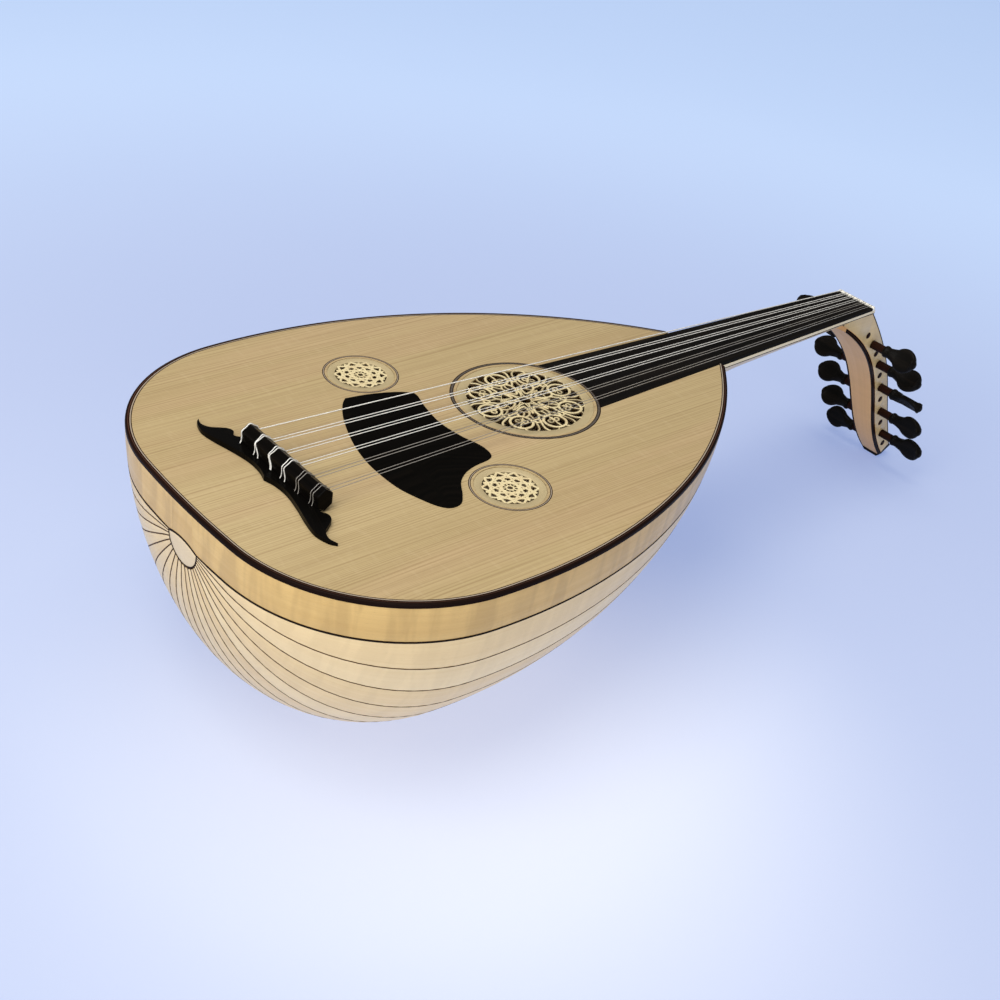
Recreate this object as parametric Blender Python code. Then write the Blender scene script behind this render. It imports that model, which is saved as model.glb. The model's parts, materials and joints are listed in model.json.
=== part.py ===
"""Oud: a short-necked lute with a ribbed bowl, a bent-back pegbox and eleven strings in six courses.

Frame: +X from the tail to the head, +Y to the bass side, +Z out of the soundboard.  The soundboard is
level, and the origin is on the surface the oud rests on, midway between the tail and the pegbox tip.
Every piece is its own object and keeps GAP to its neighbours.  Lengths are in metres.
"""

import bmesh
import bpy
import math

# ---- driving dimensions -------------------------------------------------------------------------
GAP = 0.0003
NUT_FROM_BRIDGE = 0.585     # middle of the bridge base to the nut
BODY_LENGTH = 0.448         # tail to neck joint
HALF_WIDTH = 0.166
BOWL_DEPTH = 0.182          # soundboard face to the lowest point of the bowl
OVERALL_LENGTH = 0.758      # tail to pegbox tip

CUT_REACH = 0.010           # how far a face cutter reaches past the face

FACE_Z = BOWL_DEPTH
TAIL_X = -OVERALL_LENGTH / 2
TIP_X = OVERALL_LENGTH / 2
BRIDGE_X = TAIL_X + 0.0595
NUT_X = BRIDGE_X + NUT_FROM_BRIDGE
JOINT_X = TAIL_X + BODY_LENGTH

# body outline: three tangent arcs on each side
WIDEST_X = BRIDGE_X + 0.084
SIDE_RADIUS = 0.405
CORNER_RADIUS = 0.121
TAIL_RADIUS = 0.78

# bowl
RIB_COUNT = 19
RIB_STEPS = 17
SHELL_THICKNESS = 0.0025
BAND_DEPTH = 0.029          # lower edge of the side band under the face
BAND_DEPTH_AT_NECK = 0.020
BAND_TAPER_LENGTH = 0.120
INSERT_HALF_WIDTH = 0.012
CAP_HALF_WIDTH = 0.0165
CAP_HEIGHT = 0.0165
CAP_RISE = 0.003            # how far the cap's upper edge bulges into the band
CAP_THICKNESS = 0.0025
NECK_BLOCK_LENGTH = 0.035
NECK_BLOCK_CLEARANCE = 0.0015       # from the shell's inner side
TAIL_BLOCK_START = 0.006            # from the tail
TAIL_BLOCK_THICKNESS = 0.010
TAIL_BLOCK_HALF_WIDTH = 0.034
TAIL_BLOCK_DEPTH = 0.058

# face
BOARD_THICKNESS = 0.0022
BINDING_WIDTH = 0.003
BINDING_HEIGHT = 0.003
FACE_END_X = JOINT_X - 0.004        # soundboard and binding stop here, beside the fingerboard
MAIN_ROSE = (BRIDGE_X + 0.2112, 0.0, 0.0485)
SMALL_ROSE_X = BRIDGE_X + 0.128
SMALL_ROSE_Y = 0.082
SMALL_ROSE_RADIUS = 0.0235
ROSE_THICKNESS = 0.0018
ROSE_STEPS = 48
PICKGUARD_THICKNESS = 0.0006
BRACES = ((0.025, 0.012), (0.088, 0.014), (0.275, 0.012), (0.330, 0.010))   # from BRIDGE_X, height
BRACE_WIDTH = 0.006

# bridge and strings
BRIDGE_BASE_HEIGHT = 0.004
BRIDGE_MIDDLE_Y = -0.0025
BLOCK_HALF_LENGTH = 0.0434
BLOCK_MIDDLE_Y = -0.0053
BLOCK_HALF_HEIGHT = 0.0078
BLOCK_HALF_THICKNESS = 0.0056
BLOCK_CENTRE = (0.0090, 0.0083)     # from BRIDGE_X and FACE_Z
FIRST_COURSE_AT_BRIDGE = -0.0428
FIRST_COURSE_AT_NUT = -0.0148
COURSE_PITCH_AT_BRIDGE = 0.0158
COURSE_PITCH_AT_NUT = 0.0062
PAIR_SPACING_AT_BRIDGE = 0.0030
PAIR_SPACING_AT_NUT = 0.0024
COURSE_NAMES = ("first", "second", "third", "fourth", "fifth", "sixth")
COURSE_DIAMETERS = (0.0007, 0.0008, 0.0009, 0.0010, 0.0011, 0.0013)
STRING_HEIGHT_AT_BRIDGE = 0.0106
STRING_HEIGHT_AT_NUT = 0.0021
KNOT_BAR_RATIO = 1.5                # thickness of a pair's knot bar, in string thicknesses
BLOCK_TO_STRING = 0.0009            # room between the tie block's front and a string's start
NUT_CREST = 0.0014                  # the strings cross the nut this far from its face end
SPREAD_PAST_NUT = 0.86              # side positions of the strings past the nut, against those on it
SPREAD_IN_PEGBOX = 0.66

# neck
BOARD_HALF_WIDTH_AT_JOINT = 0.0282
BOARD_HALF_WIDTH_AT_NUT = 0.0190
BOARD_TO_ROSE = 0.0052              # face left between the board's hollow end and the main rosette
NECK_STRIP_HEIGHT = 0.0027          # straight pale strip under the fingerboard
NECK_DEPTH_AT_JOINT = 0.0258
NECK_DEPTH_AT_HEAD = 0.0168
HEEL_DEPTH = 0.0045                 # added to the neck's depth where it meets the bowl
HEEL_SHARE = 0.25                   # part of the neck's length over which the heel fades
TONGUE_CURVE = 0.0001               # the tongue under the nut is all but flat below
NUT_LENGTH = 0.003
NUT_RISE = 0.0014

# pegbox: front and back edges are Bezier curves in the centre plane, from BRIDGE_X and FACE_Z
HEAD_FRONT = ((0.5893, -0.0056), (0.6567, -0.0756), (0.6499, -0.0930), (0.6950, -0.1690))
HEAD_BACK = ((0.5560, -0.0165), (0.6463, -0.0681), (0.6281, -0.1216), (0.6835, -0.1785))
HEAD_HALF_WIDTH = 0.0175
HEAD_HALF_WIDTH_AT_TIP = 0.0103
CHEEK_THICKNESS = 0.0035
BACK_THICKNESS = 0.0035
CAP_FRONT_Z = -0.1720               # end cap: top of its front edge
FOOT = (0.6845, 0.6930)             # end cap: flat that the head rests on
FOOT_WIDTH_SHARE = 0.7              # the foot's width against the cap's

# pegs
PEG_COUNT = 11
FIRST_PEG_FROM_START = 0.0272
PEG_PITCH = 0.0164
PEG_RADIUS = 0.0037
PEG_TIP_RADIUS = 0.0028
PEG_TIP_PROUD = 0.0003
PEG_HOLE_CLEARANCE = 0.0004
PEG_HEAD_RADIUS = 0.0106
PEG_HEAD_CENTRE = 0.0335            # from the cheek's outer face
PEG_HEAD_THICKNESS = (0.0032, 0.0052)       # half, at the middle and at the rim
# collar, waist and button: distance from the cheek's outer face, half width and half thickness
PEG_WAIST = ((0.0128, 0.0036, 0.0036), (0.0134, 0.0047, 0.0047), (0.0160, 0.0052, 0.0052),
             (0.0172, 0.0047, 0.0046), (0.0222, 0.0060, 0.0045))
PEG_BUTTON = ((0.0440, 0.0030, 0.0030), (0.0450, 0.0022, 0.0022))
PEG_HEAD_SHARES = (-0.68, -0.30, 0.30, 0.68, 0.90)
PEG_TURNS = (160, 65, 35, 45, 133, 137, 133, 95, 133, 100, 95)      # head angle of each peg, degrees

MAPLE = (0.80, 0.66, 0.46, 1)
BAND_MAPLE = (0.74, 0.55, 0.33, 1)
SPRUCE = (0.72, 0.60, 0.43, 1)
EBONY = (0.015, 0.013, 0.012, 1)
ROSE_WOOD = (0.83, 0.76, 0.60, 1)
EDGE_WOOD = (0.07, 0.035, 0.025, 1)
BONE = (0.86, 0.82, 0.72, 1)
SILVER = (0.75, 0.76, 0.78, 1)
GUT = (0.20, 0.19, 0.18, 1)


# ---- general tools ------------------------------------------------------------------------------
def clear_scene():
    for old in list(bpy.data.objects):
        bpy.data.objects.remove(old, do_unlink=True)


def make_material(name, colour, roughness, metallic=0.0):
    material = bpy.data.materials.new(name)
    material.use_nodes = True
    shader = material.node_tree.nodes["Principled BSDF"]
    shader.inputs["Base Color"].default_value = colour
    shader.inputs["Roughness"].default_value = roughness
    shader.inputs["Metallic"].default_value = metallic
    return material


def add_object(name, mesh_data, look):
    colour, roughness, metallic = look
    mesh_data.materials.append(make_material(name, colour, roughness, metallic))
    made = bpy.data.objects.new(name, mesh_data)
    bpy.context.collection.objects.link(made)
    return made


def mesh_from(name, vertices, faces):
    mesh_data = bpy.data.meshes.new(name)
    mesh_data.from_pydata(vertices, [], faces)
    shape = bmesh.new()
    shape.from_mesh(mesh_data)
    bmesh.ops.recalc_face_normals(shape, faces=shape.faces)
    shape.to_mesh(mesh_data)
    shape.free()
    return mesh_data


def loft(name, rings, look, smooth=True):
    """A solid through rings of equal length, capped at both ends."""
    size = len(rings[0])
    vertices = [point for ring in rings for point in ring]
    faces = []
    for row in range(len(rings) - 1):
        here, there = row * size, (row + 1) * size
        for k in range(size):
            faces.append((here + k, here + (k + 1) % size, there + (k + 1) % size, there + k))
    faces.append(tuple(range(size))[::-1])
    faces.append(tuple(range(len(vertices) - size, len(vertices))))
    made = add_object(name, mesh_from(name, vertices, faces), look)
    if smooth:
        made.data.shade_smooth()
        made.data.set_sharp_from_angle(angle=math.radians(35))
    return made


def slab(name, outline, low, high, look):
    """An upright prism over a plan outline."""
    rings = [[(x, y, z) for x, y in outline] for z in (low, high)]
    return loft(name, rings, look, smooth=False)


def cutter(name, rings):
    made = loft(name, rings, ((1, 0, 0, 1), 0.5, 0.0), smooth=False)
    hide_guide(made)
    return made


def hide_guide(guide):
    guide.hide_render = True
    guide.display_type = "WIRE"


def boolean(target, tool, operation="DIFFERENCE"):
    step = target.modifiers.new("Cut" if operation == "DIFFERENCE" else "Join", "BOOLEAN")
    step.operation = operation
    step.solver = "EXACT"
    step.object = tool


def circle(centre_x, centre_y, radius, steps):
    return [(centre_x + radius * math.cos(2 * math.pi * k / steps),
             centre_y + radius * math.sin(2 * math.pi * k / steps)) for k in range(steps)]


def blend(low, high, amount):
    return low + (high - low) * amount


def spread(start, stop, steps):
    return [blend(start, stop, k / steps) for k in range(steps + 1)]


def bezier(points, t):
    weights = ((1 - t) ** 3, 3 * t * (1 - t) ** 2, 3 * t * t * (1 - t), t ** 3)
    return tuple(sum(w * p[axis] for w, p in zip(weights, points)) for axis in (0, 1))


def smooth_curve(points, steps):
    """Catmull-Rom curve through the points, ends included."""
    ends = [points[0]] + list(points) + [points[-1]]
    curve = []
    for a, b, c, d in zip(ends, ends[1:], ends[2:], ends[3:]):
        for k in range(steps):
            t = k / steps
            curve.append(tuple(
                0.5 * (2 * b[i] + (c[i] - a[i]) * t + (2 * a[i] - 5 * b[i] + 4 * c[i] - d[i]) * t * t
                       + (3 * b[i] - a[i] - 3 * c[i] + d[i]) * t ** 3) for i in range(2)))
    curve.append(tuple(points[-1]))
    return curve


# ---- body outline -------------------------------------------------------------------------------
def corner_centre():
    """Centre of the corner arc, tangent inside both the side arc and the tail arc."""
    side = (WIDEST_X, HALF_WIDTH - SIDE_RADIUS)
    tail = (TAIL_X + TAIL_RADIUS, 0.0)
    to_side = SIDE_RADIUS - CORNER_RADIUS
    to_tail = TAIL_RADIUS - CORNER_RADIUS
    apart = math.dist(side, tail)
    along = (to_side ** 2 - to_tail ** 2 + apart ** 2) / (2 * apart)
    off = math.sqrt(to_side ** 2 - along ** 2)
    ux, uy = (tail[0] - side[0]) / apart, (tail[1] - side[1]) / apart
    return side[0] + ux * along - uy * off, side[1] + uy * along + ux * off


CORNER = corner_centre()
SIDE_ARC = (WIDEST_X, HALF_WIDTH - SIDE_RADIUS, SIDE_RADIUS)
CORNER_ARC = (CORNER[0], CORNER[1], CORNER_RADIUS)
TAIL_ARC = (TAIL_X + TAIL_RADIUS, 0.0, TAIL_RADIUS)


def angle_from(arc, point):
    return math.atan2(point[1] - arc[1], point[0] - arc[0])


def join_angle(arc, other):
    """Direction in which two internally tangent arcs meet."""
    small, big = (arc, other) if arc[2] < other[2] else (other, arc)
    return math.atan2(small[1] - big[1], small[0] - big[0])


SIDE_TO_CORNER = join_angle(SIDE_ARC, CORNER_ARC)
CORNER_TO_TAIL = join_angle(CORNER_ARC, TAIL_ARC)
SIDE_START_X = SIDE_ARC[0] + SIDE_RADIUS * math.cos(SIDE_TO_CORNER)
CORNER_START_X = TAIL_ARC[0] + TAIL_RADIUS * math.cos(CORNER_TO_TAIL)


def arc_at(x):
    if x >= SIDE_START_X:
        return SIDE_ARC
    return CORNER_ARC if x >= CORNER_START_X else TAIL_ARC


def half_width(x):
    """Half width of the body outline at x."""
    cx, cy, radius = arc_at(x)
    return cy + math.sqrt(max(radius ** 2 - (x - cx) ** 2, 0.0)) if x > TAIL_X else 0.0


def outline_half(inset, end_x, first_y=0.0, steps=(3, 10, 16)):
    """Points of the bass side's outline from the tail to end_x, moved inwards by inset."""
    tail, corner, side = ((cx, cy, radius - inset) for cx, cy, radius in (TAIL_ARC, CORNER_ARC, SIDE_ARC))
    first = math.pi - math.asin(first_y / tail[2])
    last = math.acos((end_x - side[0]) / side[2])
    points = []
    for (cx, cy, radius), start, stop, count in ((tail, first, CORNER_TO_TAIL, steps[0]),
                                                 (corner, CORNER_TO_TAIL, SIDE_TO_CORNER, steps[1]),
                                                 (side, SIDE_TO_CORNER, last, steps[2])):
        turns = spread(start, stop, count)
        points += [(cx + radius * math.cos(a), cy + radius * math.sin(a)) for a in turns[:-1]]
    points.append((end_x, side[1] + side[2] * math.sin(last)))
    return points


def full_outline(inset, end_x):
    """Closed outline: tail centre, up the bass side, and back down the treble side."""
    bass = outline_half(inset, end_x)
    return bass + [(x, -y) for x, y in reversed(bass[1:])]


# ---- bowl surface: y^2 + (z/k)^2 = half_width(x)^2 under the face --------------------------------
DEPTH_RATIO = BOWL_DEPTH / HALF_WIDTH


def inward_normal(x, y, z):
    """Unit normal of the bowl surface, pointing into the bowl; z is measured from the face."""
    cx, cy, _ = arc_at(x)
    width = half_width(x)
    along = -width * (x - cx) / (width - cy)
    normal = (along, -y, -z / DEPTH_RATIO ** 2)
    size = math.sqrt(sum(n * n for n in normal))
    return tuple(n / size for n in normal)


def shell_pair(x, y, z):
    """Outer and inner point of the shell, in the part's frame."""
    normal = inward_normal(x, y, z)
    outer = (x, y, FACE_Z + z)
    inner = tuple(p + n * SHELL_THICKNESS for p, n in zip(outer, normal))
    return outer, inner


def band_edge(x):
    """Depth of the side band's lower edge; it rises a little towards the neck."""
    amount = min(max((x - (JOINT_X - BAND_TAPER_LENGTH)) / BAND_TAPER_LENGTH, 0.0), 1.0)
    return blend(BAND_DEPTH, BAND_DEPTH_AT_NECK, amount * amount)


def cap_bulge(x, y):
    """How far the tail cap's rounded upper edge pushes the band's lower edge up."""
    return CAP_RISE * max(1 - (y / CAP_HALF_WIDTH) ** 2, 0.0) if x < 0 else 0.0


def wall_point(rim, normal, depth):
    """Point of the bowl surface under a rim point, found along the rim's inward normal."""
    low, high = 0.0, 0.02
    for _ in range(50):
        middle = (low + high) / 2
        x, y = rim[0] + normal[0] * middle, rim[1] + normal[1] * middle
        inside = half_width(x) ** 2 - y * y - (depth / DEPTH_RATIO) ** 2 > 0
        low, high = (low, middle) if inside else (middle, high)
    return rim[0] + normal[0] * high, rim[1] + normal[1] * high


def rim_normal(rim):
    cx, cy, radius = arc_at(rim[0])
    return (cx - rim[0]) / radius, (cy - abs(rim[1])) / radius * (1 if rim[1] >= 0 else -1)


def band_ring(rim):
    """Cross-section of the side band at a rim point: outer side down, inner side up."""
    normal = rim_normal(rim)
    top = BINDING_HEIGHT + GAP
    outer, inner = [], []
    for share in (0.0, 0.5, 1.0):
        depth = blend(top, band_edge(rim[0]) - cap_bulge(*rim), share)
        x, y = wall_point(rim, normal, depth)
        out_point, in_point = shell_pair(x, y, -depth)
        outer.append(out_point)
        inner.append(in_point)
    inner[0] = (inner[0][0], inner[0][1], outer[0][2])
    return outer + inner[::-1]


def tail_rim(y):
    return TAIL_ARC[0] - math.sqrt(TAIL_RADIUS ** 2 - y * y), y


def make_bands(look):
    rims = [tail_rim(INSERT_HALF_WIDTH + GAP / 2)]
    rims += outline_half(0.0, JOINT_X - GAP, first_y=CAP_HALF_WIDTH + GAP)
    loft("side_band_bass", [band_ring(rim) for rim in rims], look)
    loft("side_band_treble", [band_ring((x, -y)) for x, y in rims], look)
    half = INSERT_HALF_WIDTH - GAP / 2
    loft("tail_insert", [band_ring(tail_rim(y)) for y in spread(-half, half, 6)], look)


def outline_at(length):
    """x of the outline after the given length, measured along it from the tail centre."""
    tail_length = (math.pi - CORNER_TO_TAIL) * TAIL_RADIUS
    corner_length = (CORNER_TO_TAIL - SIDE_TO_CORNER) * CORNER_RADIUS
    if length < tail_length:
        return TAIL_ARC[0] - TAIL_RADIUS * math.cos(length / TAIL_RADIUS)
    length -= tail_length
    if length < corner_length:
        return CORNER_ARC[0] + CORNER_RADIUS * math.cos(CORNER_TO_TAIL - length / CORNER_RADIUS)
    length -= corner_length
    return SIDE_ARC[0] + SIDE_RADIUS * math.cos(SIDE_TO_CORNER - length / SIDE_RADIUS)


OUTLINE_LENGTH = ((math.pi - CORNER_TO_TAIL) * TAIL_RADIUS + (CORNER_TO_TAIL - SIDE_TO_CORNER) * CORNER_RADIUS
                  + (SIDE_TO_CORNER - math.acos((JOINT_X - GAP - WIDEST_X) / SIDE_RADIUS)) * SIDE_RADIUS)


def rib_point(length, share, nudge):
    """Bowl surface point at a share (0 bass band edge, 1 treble band edge) of the section at length."""
    x = outline_at(length)
    width = half_width(x)
    first = math.asin(min((band_edge(x)) / (width * DEPTH_RATIO), 1.0))
    angle = blend(first, math.pi - first, share)
    angle += nudge / (width * math.sqrt(math.sin(angle) ** 2 + (DEPTH_RATIO * math.cos(angle)) ** 2))
    return x, width * math.cos(angle), -width * DEPTH_RATIO * math.sin(angle)


def rib_start(share):
    """Length at which a rib edge comes out from the tail cap's half-oval."""
    low, high = BAND_DEPTH / DEPTH_RATIO, 0.12
    for _ in range(50):
        middle = (low + high) / 2
        _, y, z = rib_point(middle, share, 0.0)
        reach = (y / (CAP_HALF_WIDTH + GAP)) ** 2 + ((z + BAND_DEPTH) / (CAP_HEIGHT + GAP)) ** 2
        low, high = (middle, high) if reach < 1 else (low, middle)
    return high


def make_rib(index, look):
    edges = (index / RIB_COUNT, (index + 1) / RIB_COUNT)
    nudges = (GAP * 0.6, -GAP * 0.6)
    starts = [rib_start(share) for share in edges]
    rings = []
    for amount in spread(0.0, 1.0, RIB_STEPS):
        pairs = []
        for share, start, nudge in zip(edges, starts, nudges):
            length = blend(start, OUTLINE_LENGTH, amount ** 1.15)
            pairs.append(shell_pair(*rib_point(length, share, nudge)))
        rings.append([pairs[0][0], pairs[1][0], pairs[1][1], pairs[0][1]])
    loft("rib_%02d" % (index + 1), rings, look)


def make_tail_cap(look):
    """Half-oval plate set flush between the rib ends, its slightly bulging side up."""
    outline = [(CAP_HALF_WIDTH * math.cos(a), -BAND_DEPTH - GAP - (CAP_HEIGHT - GAP) * math.sin(a))
               for a in spread(0.0, math.pi, 20)]
    outline += [(y, -BAND_DEPTH - GAP + cap_bulge(TAIL_X, y))
                for y in spread(-CAP_HALF_WIDTH, CAP_HALF_WIDTH, 8)[1:-1]]
    rings = []
    for thickness in (0.0, CAP_THICKNESS):
        ring = []
        for y, z in outline:
            x = TAIL_ARC[0] - math.sqrt(TAIL_RADIUS ** 2 - y * y - (z / DEPTH_RATIO) ** 2)
            ring.append((x + thickness, y, FACE_Z + z))
        rings.append(ring)
    loft("tail_cap", rings, look)


def make_neck_block(look):
    """Block inside the head end of the bowl, following the ribs' inner side."""
    top = -BINDING_HEIGHT - GAP
    rings = []
    for x in spread(JOINT_X - 2 * GAP - NECK_BLOCK_LENGTH, JOINT_X - 2 * GAP, 4):
        slant = SIDE_RADIUS / (half_width(x) - SIDE_ARC[1])
        margin = (SHELL_THICKNESS + NECK_BLOCK_CLEARANCE) * slant
        width = half_width(x) - margin
        depth = half_width(x) * DEPTH_RATIO - margin
        rings.append([(x, width * math.cos(a), FACE_Z + min(-depth * math.sin(a), top))
                      for a in spread(0.0, math.pi, 12)])
    loft("neck_block", rings, look)


def make_tail_block(look):
    """Half-round block behind the tail cap."""
    top = -BINDING_HEIGHT - GAP
    plan = [(TAIL_BLOCK_HALF_WIDTH * math.cos(a), min(-TAIL_BLOCK_DEPTH * math.sin(a), top))
            for a in spread(0.0, math.pi, 12)]
    start = TAIL_X + TAIL_BLOCK_START
    rings = [[(x, y, FACE_Z + z) for y, z in plan] for x in (start, start + TAIL_BLOCK_THICKNESS)]
    loft("tail_block", rings, look)


# ---- face ---------------------------------------------------------------------------------------
def board_half_width(x):
    amount = (x - JOINT_X) / (NUT_X - JOINT_X)
    return blend(BOARD_HALF_WIDTH_AT_JOINT, BOARD_HALF_WIDTH_AT_NUT, amount)


def fingerboard_outline(margin, end_x):
    """Fingerboard plan: straight sides, and a hollow end round the main rosette."""
    cx, cy, rose_radius = MAIN_ROSE
    radius = rose_radius + BOARD_TO_ROSE - margin
    half = board_half_width(cx + radius) + margin
    reach = math.asin(half / radius)
    hollow = [(cx + radius * math.cos(a), cy + radius * math.sin(a)) for a in spread(-reach, reach, 12)]
    end_half = board_half_width(end_x) + margin
    return hollow + [(end_x, end_half), (end_x, -end_half)]


def make_soundboard(look):
    board = slab("soundboard", full_outline(BINDING_WIDTH + GAP, FACE_END_X),
                 FACE_Z - BOARD_THICKNESS, FACE_Z, look)
    levels = (FACE_Z - CUT_REACH, FACE_Z + CUT_REACH)
    holes = [MAIN_ROSE, (SMALL_ROSE_X, SMALL_ROSE_Y, SMALL_ROSE_RADIUS),
             (SMALL_ROSE_X, -SMALL_ROSE_Y, SMALL_ROSE_RADIUS)]
    for number, (cx, cy, radius) in enumerate(holes):
        ring = circle(cx, cy, radius + GAP, ROSE_STEPS)
        boolean(board, cutter("hole_cutter_%d" % number, [[(x, y, z) for x, y in ring] for z in levels]))
    slot = fingerboard_outline(GAP, NUT_X)
    boolean(board, cutter("slot_cutter", [[(x, y, z) for x, y in slot] for z in levels]))


def make_binding(look):
    """Dark strip all round the soundboard's edge, ending against the fingerboard's sides."""
    outer = outline_half(0.0, FACE_END_X)
    inner = outline_half(BINDING_WIDTH, FACE_END_X)
    end_x, end_y = inner[-1]
    inner[-1] = (end_x, max(end_y, board_half_width(end_x) + GAP))
    pairs = list(zip(outer, inner))
    pairs = [((x, -y), (u, -v)) for (x, y), (u, v) in reversed(pairs[1:])] + pairs
    low = FACE_Z - BINDING_HEIGHT
    rings = [[(x, y, low), (x, y, FACE_Z), (u, v, FACE_Z), (u, v, low)] for (x, y), (u, v) in pairs]
    loft("edge_binding", rings, look)


def make_rose(name, cx, cy, radius, petals, look):
    """Rosette disc with one ring of pointed openings."""
    top = FACE_Z - GAP
    disc = slab(name, circle(cx, cy, radius, ROSE_STEPS), top - ROSE_THICKNESS, top, look)
    levels = (top - CUT_REACH, top + CUT_REACH)
    for k in range(petals):
        turn = 2 * math.pi * k / petals
        inner, outer = radius * 0.36, radius * 0.80
        middle, half = radius * 0.58, radius * 0.58 * math.pi / petals * 0.62
        plan = [(inner, 0.0), (middle, -half), (outer, 0.0), (middle, half)]
        plan = [(cx + r * math.cos(turn) - s * math.sin(turn), cy + r * math.sin(turn) + s * math.cos(turn))
                for r, s in plan]
        boolean(disc, cutter("%s_cutter_%d" % (name, k), [[(x, y, z) for x, y in plan] for z in levels]))


def make_pickguard(look):
    """Flat leaf between the bridge and the main rosette, wider on the treble side."""
    corners = [(0.098, 0.058), (0.117, 0.055), (0.134, 0.0495), (0.143, 0.044), (0.145, 0.0385),
               (0.1405, 0.024), (0.1365, 0.002), (0.1385, -0.019), (0.1425, -0.0335), (0.142, -0.045),
               (0.137, -0.050), (0.123, -0.052), (0.112, -0.056), (0.103, -0.063), (0.095, -0.0745),
               (0.088, -0.082), (0.080, -0.083), (0.074, -0.078), (0.069, -0.067), (0.064, -0.050),
               (0.063, -0.031), (0.0646, -0.012), (0.0705, 0.0105), (0.081, 0.035), (0.091, 0.051),
               (0.098, 0.058)]
    curve = smooth_curve([(BRIDGE_X + x, y) for x, y in corners], 2)[:-1]
    slab("pickguard", curve, FACE_Z + GAP, FACE_Z + GAP + PICKGUARD_THICKNESS, look)


def make_braces(look):
    for number, (offset, height) in enumerate(BRACES):
        x = BRIDGE_X + offset
        half = half_width(x) - 0.010
        top = FACE_Z - BOARD_THICKNESS - GAP
        low_half = half - 0.016
        rings = [[(x + side, -half, top), (x + side, -half, top - height * 0.35),
                  (x + side, -low_half, top - height), (x + side, low_half, top - height),
                  (x + side, half, top - height * 0.35), (x + side, half, top)]
                 for side in (-BRACE_WIDTH / 2, BRACE_WIDTH / 2)]
        loft("brace_%d" % (number + 1), rings, look, smooth=False)


# ---- bridge -------------------------------------------------------------------------------------
def make_bridge(look):
    """Base with moustache tips, and the six-sided tie block that the strings loop round."""
    front = [(0.0120, 0.0), (0.0120, 0.0150), (0.0120, 0.0300), (0.0110, 0.0400), (0.0074, 0.0445),
             (0.0044, 0.0475), (0.0040, 0.0500), (0.0060, 0.0525), (0.0066, 0.0556), (0.0050, 0.0592),
             (0.0012, 0.0624), (-0.0030, 0.0655), (-0.0054, 0.0695), (-0.0060, 0.0740), (-0.0040, 0.0795)]
    back = [(-0.0040, 0.0795), (-0.0076, 0.0752), (-0.0102, 0.0650), (-0.0085, 0.0527), (-0.0046, 0.0370),
            (-0.0018, 0.0215), (-0.0022, 0.0090), (-0.0046, 0.0)]
    half = smooth_curve(front, 3)[:-1] + smooth_curve(back, 4)
    plan = half + [(x, -y) for x, y in reversed(half[1:-1])]
    low = FACE_Z + GAP
    plan = [(BRIDGE_X + x, BRIDGE_MIDDLE_Y + y) for x, y in plan]
    bridge = slab("bridge", plan, low, low + BRIDGE_BASE_HEIGHT, look)
    cx, cz = BLOCK_CENTRE
    t, h = BLOCK_HALF_THICKNESS, BLOCK_HALF_HEIGHT
    corners = [(t, h / 2), (0.0, h), (-t, h / 2), (-t, -h / 2), (0.0, -h), (t, -h / 2)]
    ends = (BLOCK_MIDDLE_Y - BLOCK_HALF_LENGTH, BLOCK_MIDDLE_Y + BLOCK_HALF_LENGTH)
    block = cutter("bridge_block", [[(BRIDGE_X + cx + x, y, FACE_Z + cz + z) for x, z in corners]
                                    for y in ends])
    boolean(bridge, block, "UNION")


# ---- neck ---------------------------------------------------------------------------------------
def neck_ring(x, width, depth):
    """Section of the neck: straight strip, then a parabola of the given depth."""
    top = -BOARD_THICKNESS - GAP
    shoulder = top - NECK_STRIP_HEIGHT
    section = [(width, top)]
    section += [(width * math.cos(a), shoulder - depth * math.sin(a) ** 2)
                for a in spread(0.0, math.pi, 14)]
    section += [(-width, top)]
    return [(x, y, FACE_Z + z) for y, z in section]


def make_neck(look):
    """Neck with a small heel at the bowl, ending in a flat tongue that carries the nut."""
    straight = BOARD_THICKNESS + GAP + NECK_STRIP_HEIGHT
    start_x, end_x = JOINT_X + GAP, BRIDGE_X + HEAD_BACK[0][0] - 2 * GAP
    rings = []
    for share in spread(0.0, 1.0, 9):
        amount = share ** 1.3
        heel = HEEL_DEPTH * max(1 - amount / HEEL_SHARE, 0.0) ** 2
        depth = blend(NECK_DEPTH_AT_JOINT, NECK_DEPTH_AT_HEAD, amount) + heel - straight
        x = blend(start_x, end_x, amount)
        rings.append(neck_ring(x, board_half_width(x), depth))
    for x in (end_x + GAP, BRIDGE_X + HEAD_FRONT[0][0] - GAP):
        rings.append(neck_ring(x, board_half_width(x), TONGUE_CURVE))
    loft("neck", rings, look)


def make_nut(look):
    half = BOARD_HALF_WIDTH_AT_NUT
    low = FACE_Z - BOARD_THICKNESS
    top = FACE_Z + NUT_RISE
    profile = [(0.0, low), (0.0, top - 0.0008), (0.0008, top), (0.0020, top - 0.0002),
               (NUT_LENGTH, top - 0.0014), (NUT_LENGTH, low)]
    rings = [[(NUT_X + x, y, z) for x, z in profile] for y in (-half, half)]
    loft("nut", rings, look, smooth=False)


# ---- pegbox -------------------------------------------------------------------------------------
def head_point(curve, t):
    x, z = bezier(curve, t)
    return BRIDGE_X + x, FACE_Z + z


def head_half_width(x, z):
    """Half width of the pegbox; it narrows evenly from the nut to the tip."""
    x0, z0 = head_point(HEAD_FRONT, 0)
    x1, z1 = head_point(HEAD_FRONT, 1)
    length = math.dist((x0, z0), (x1, z1))
    along = ((x - x0) * (x1 - x0) + (z - z0) * (z1 - z0)) / length
    return blend(HEAD_HALF_WIDTH, HEAD_HALF_WIDTH_AT_TIP, along / length)


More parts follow.
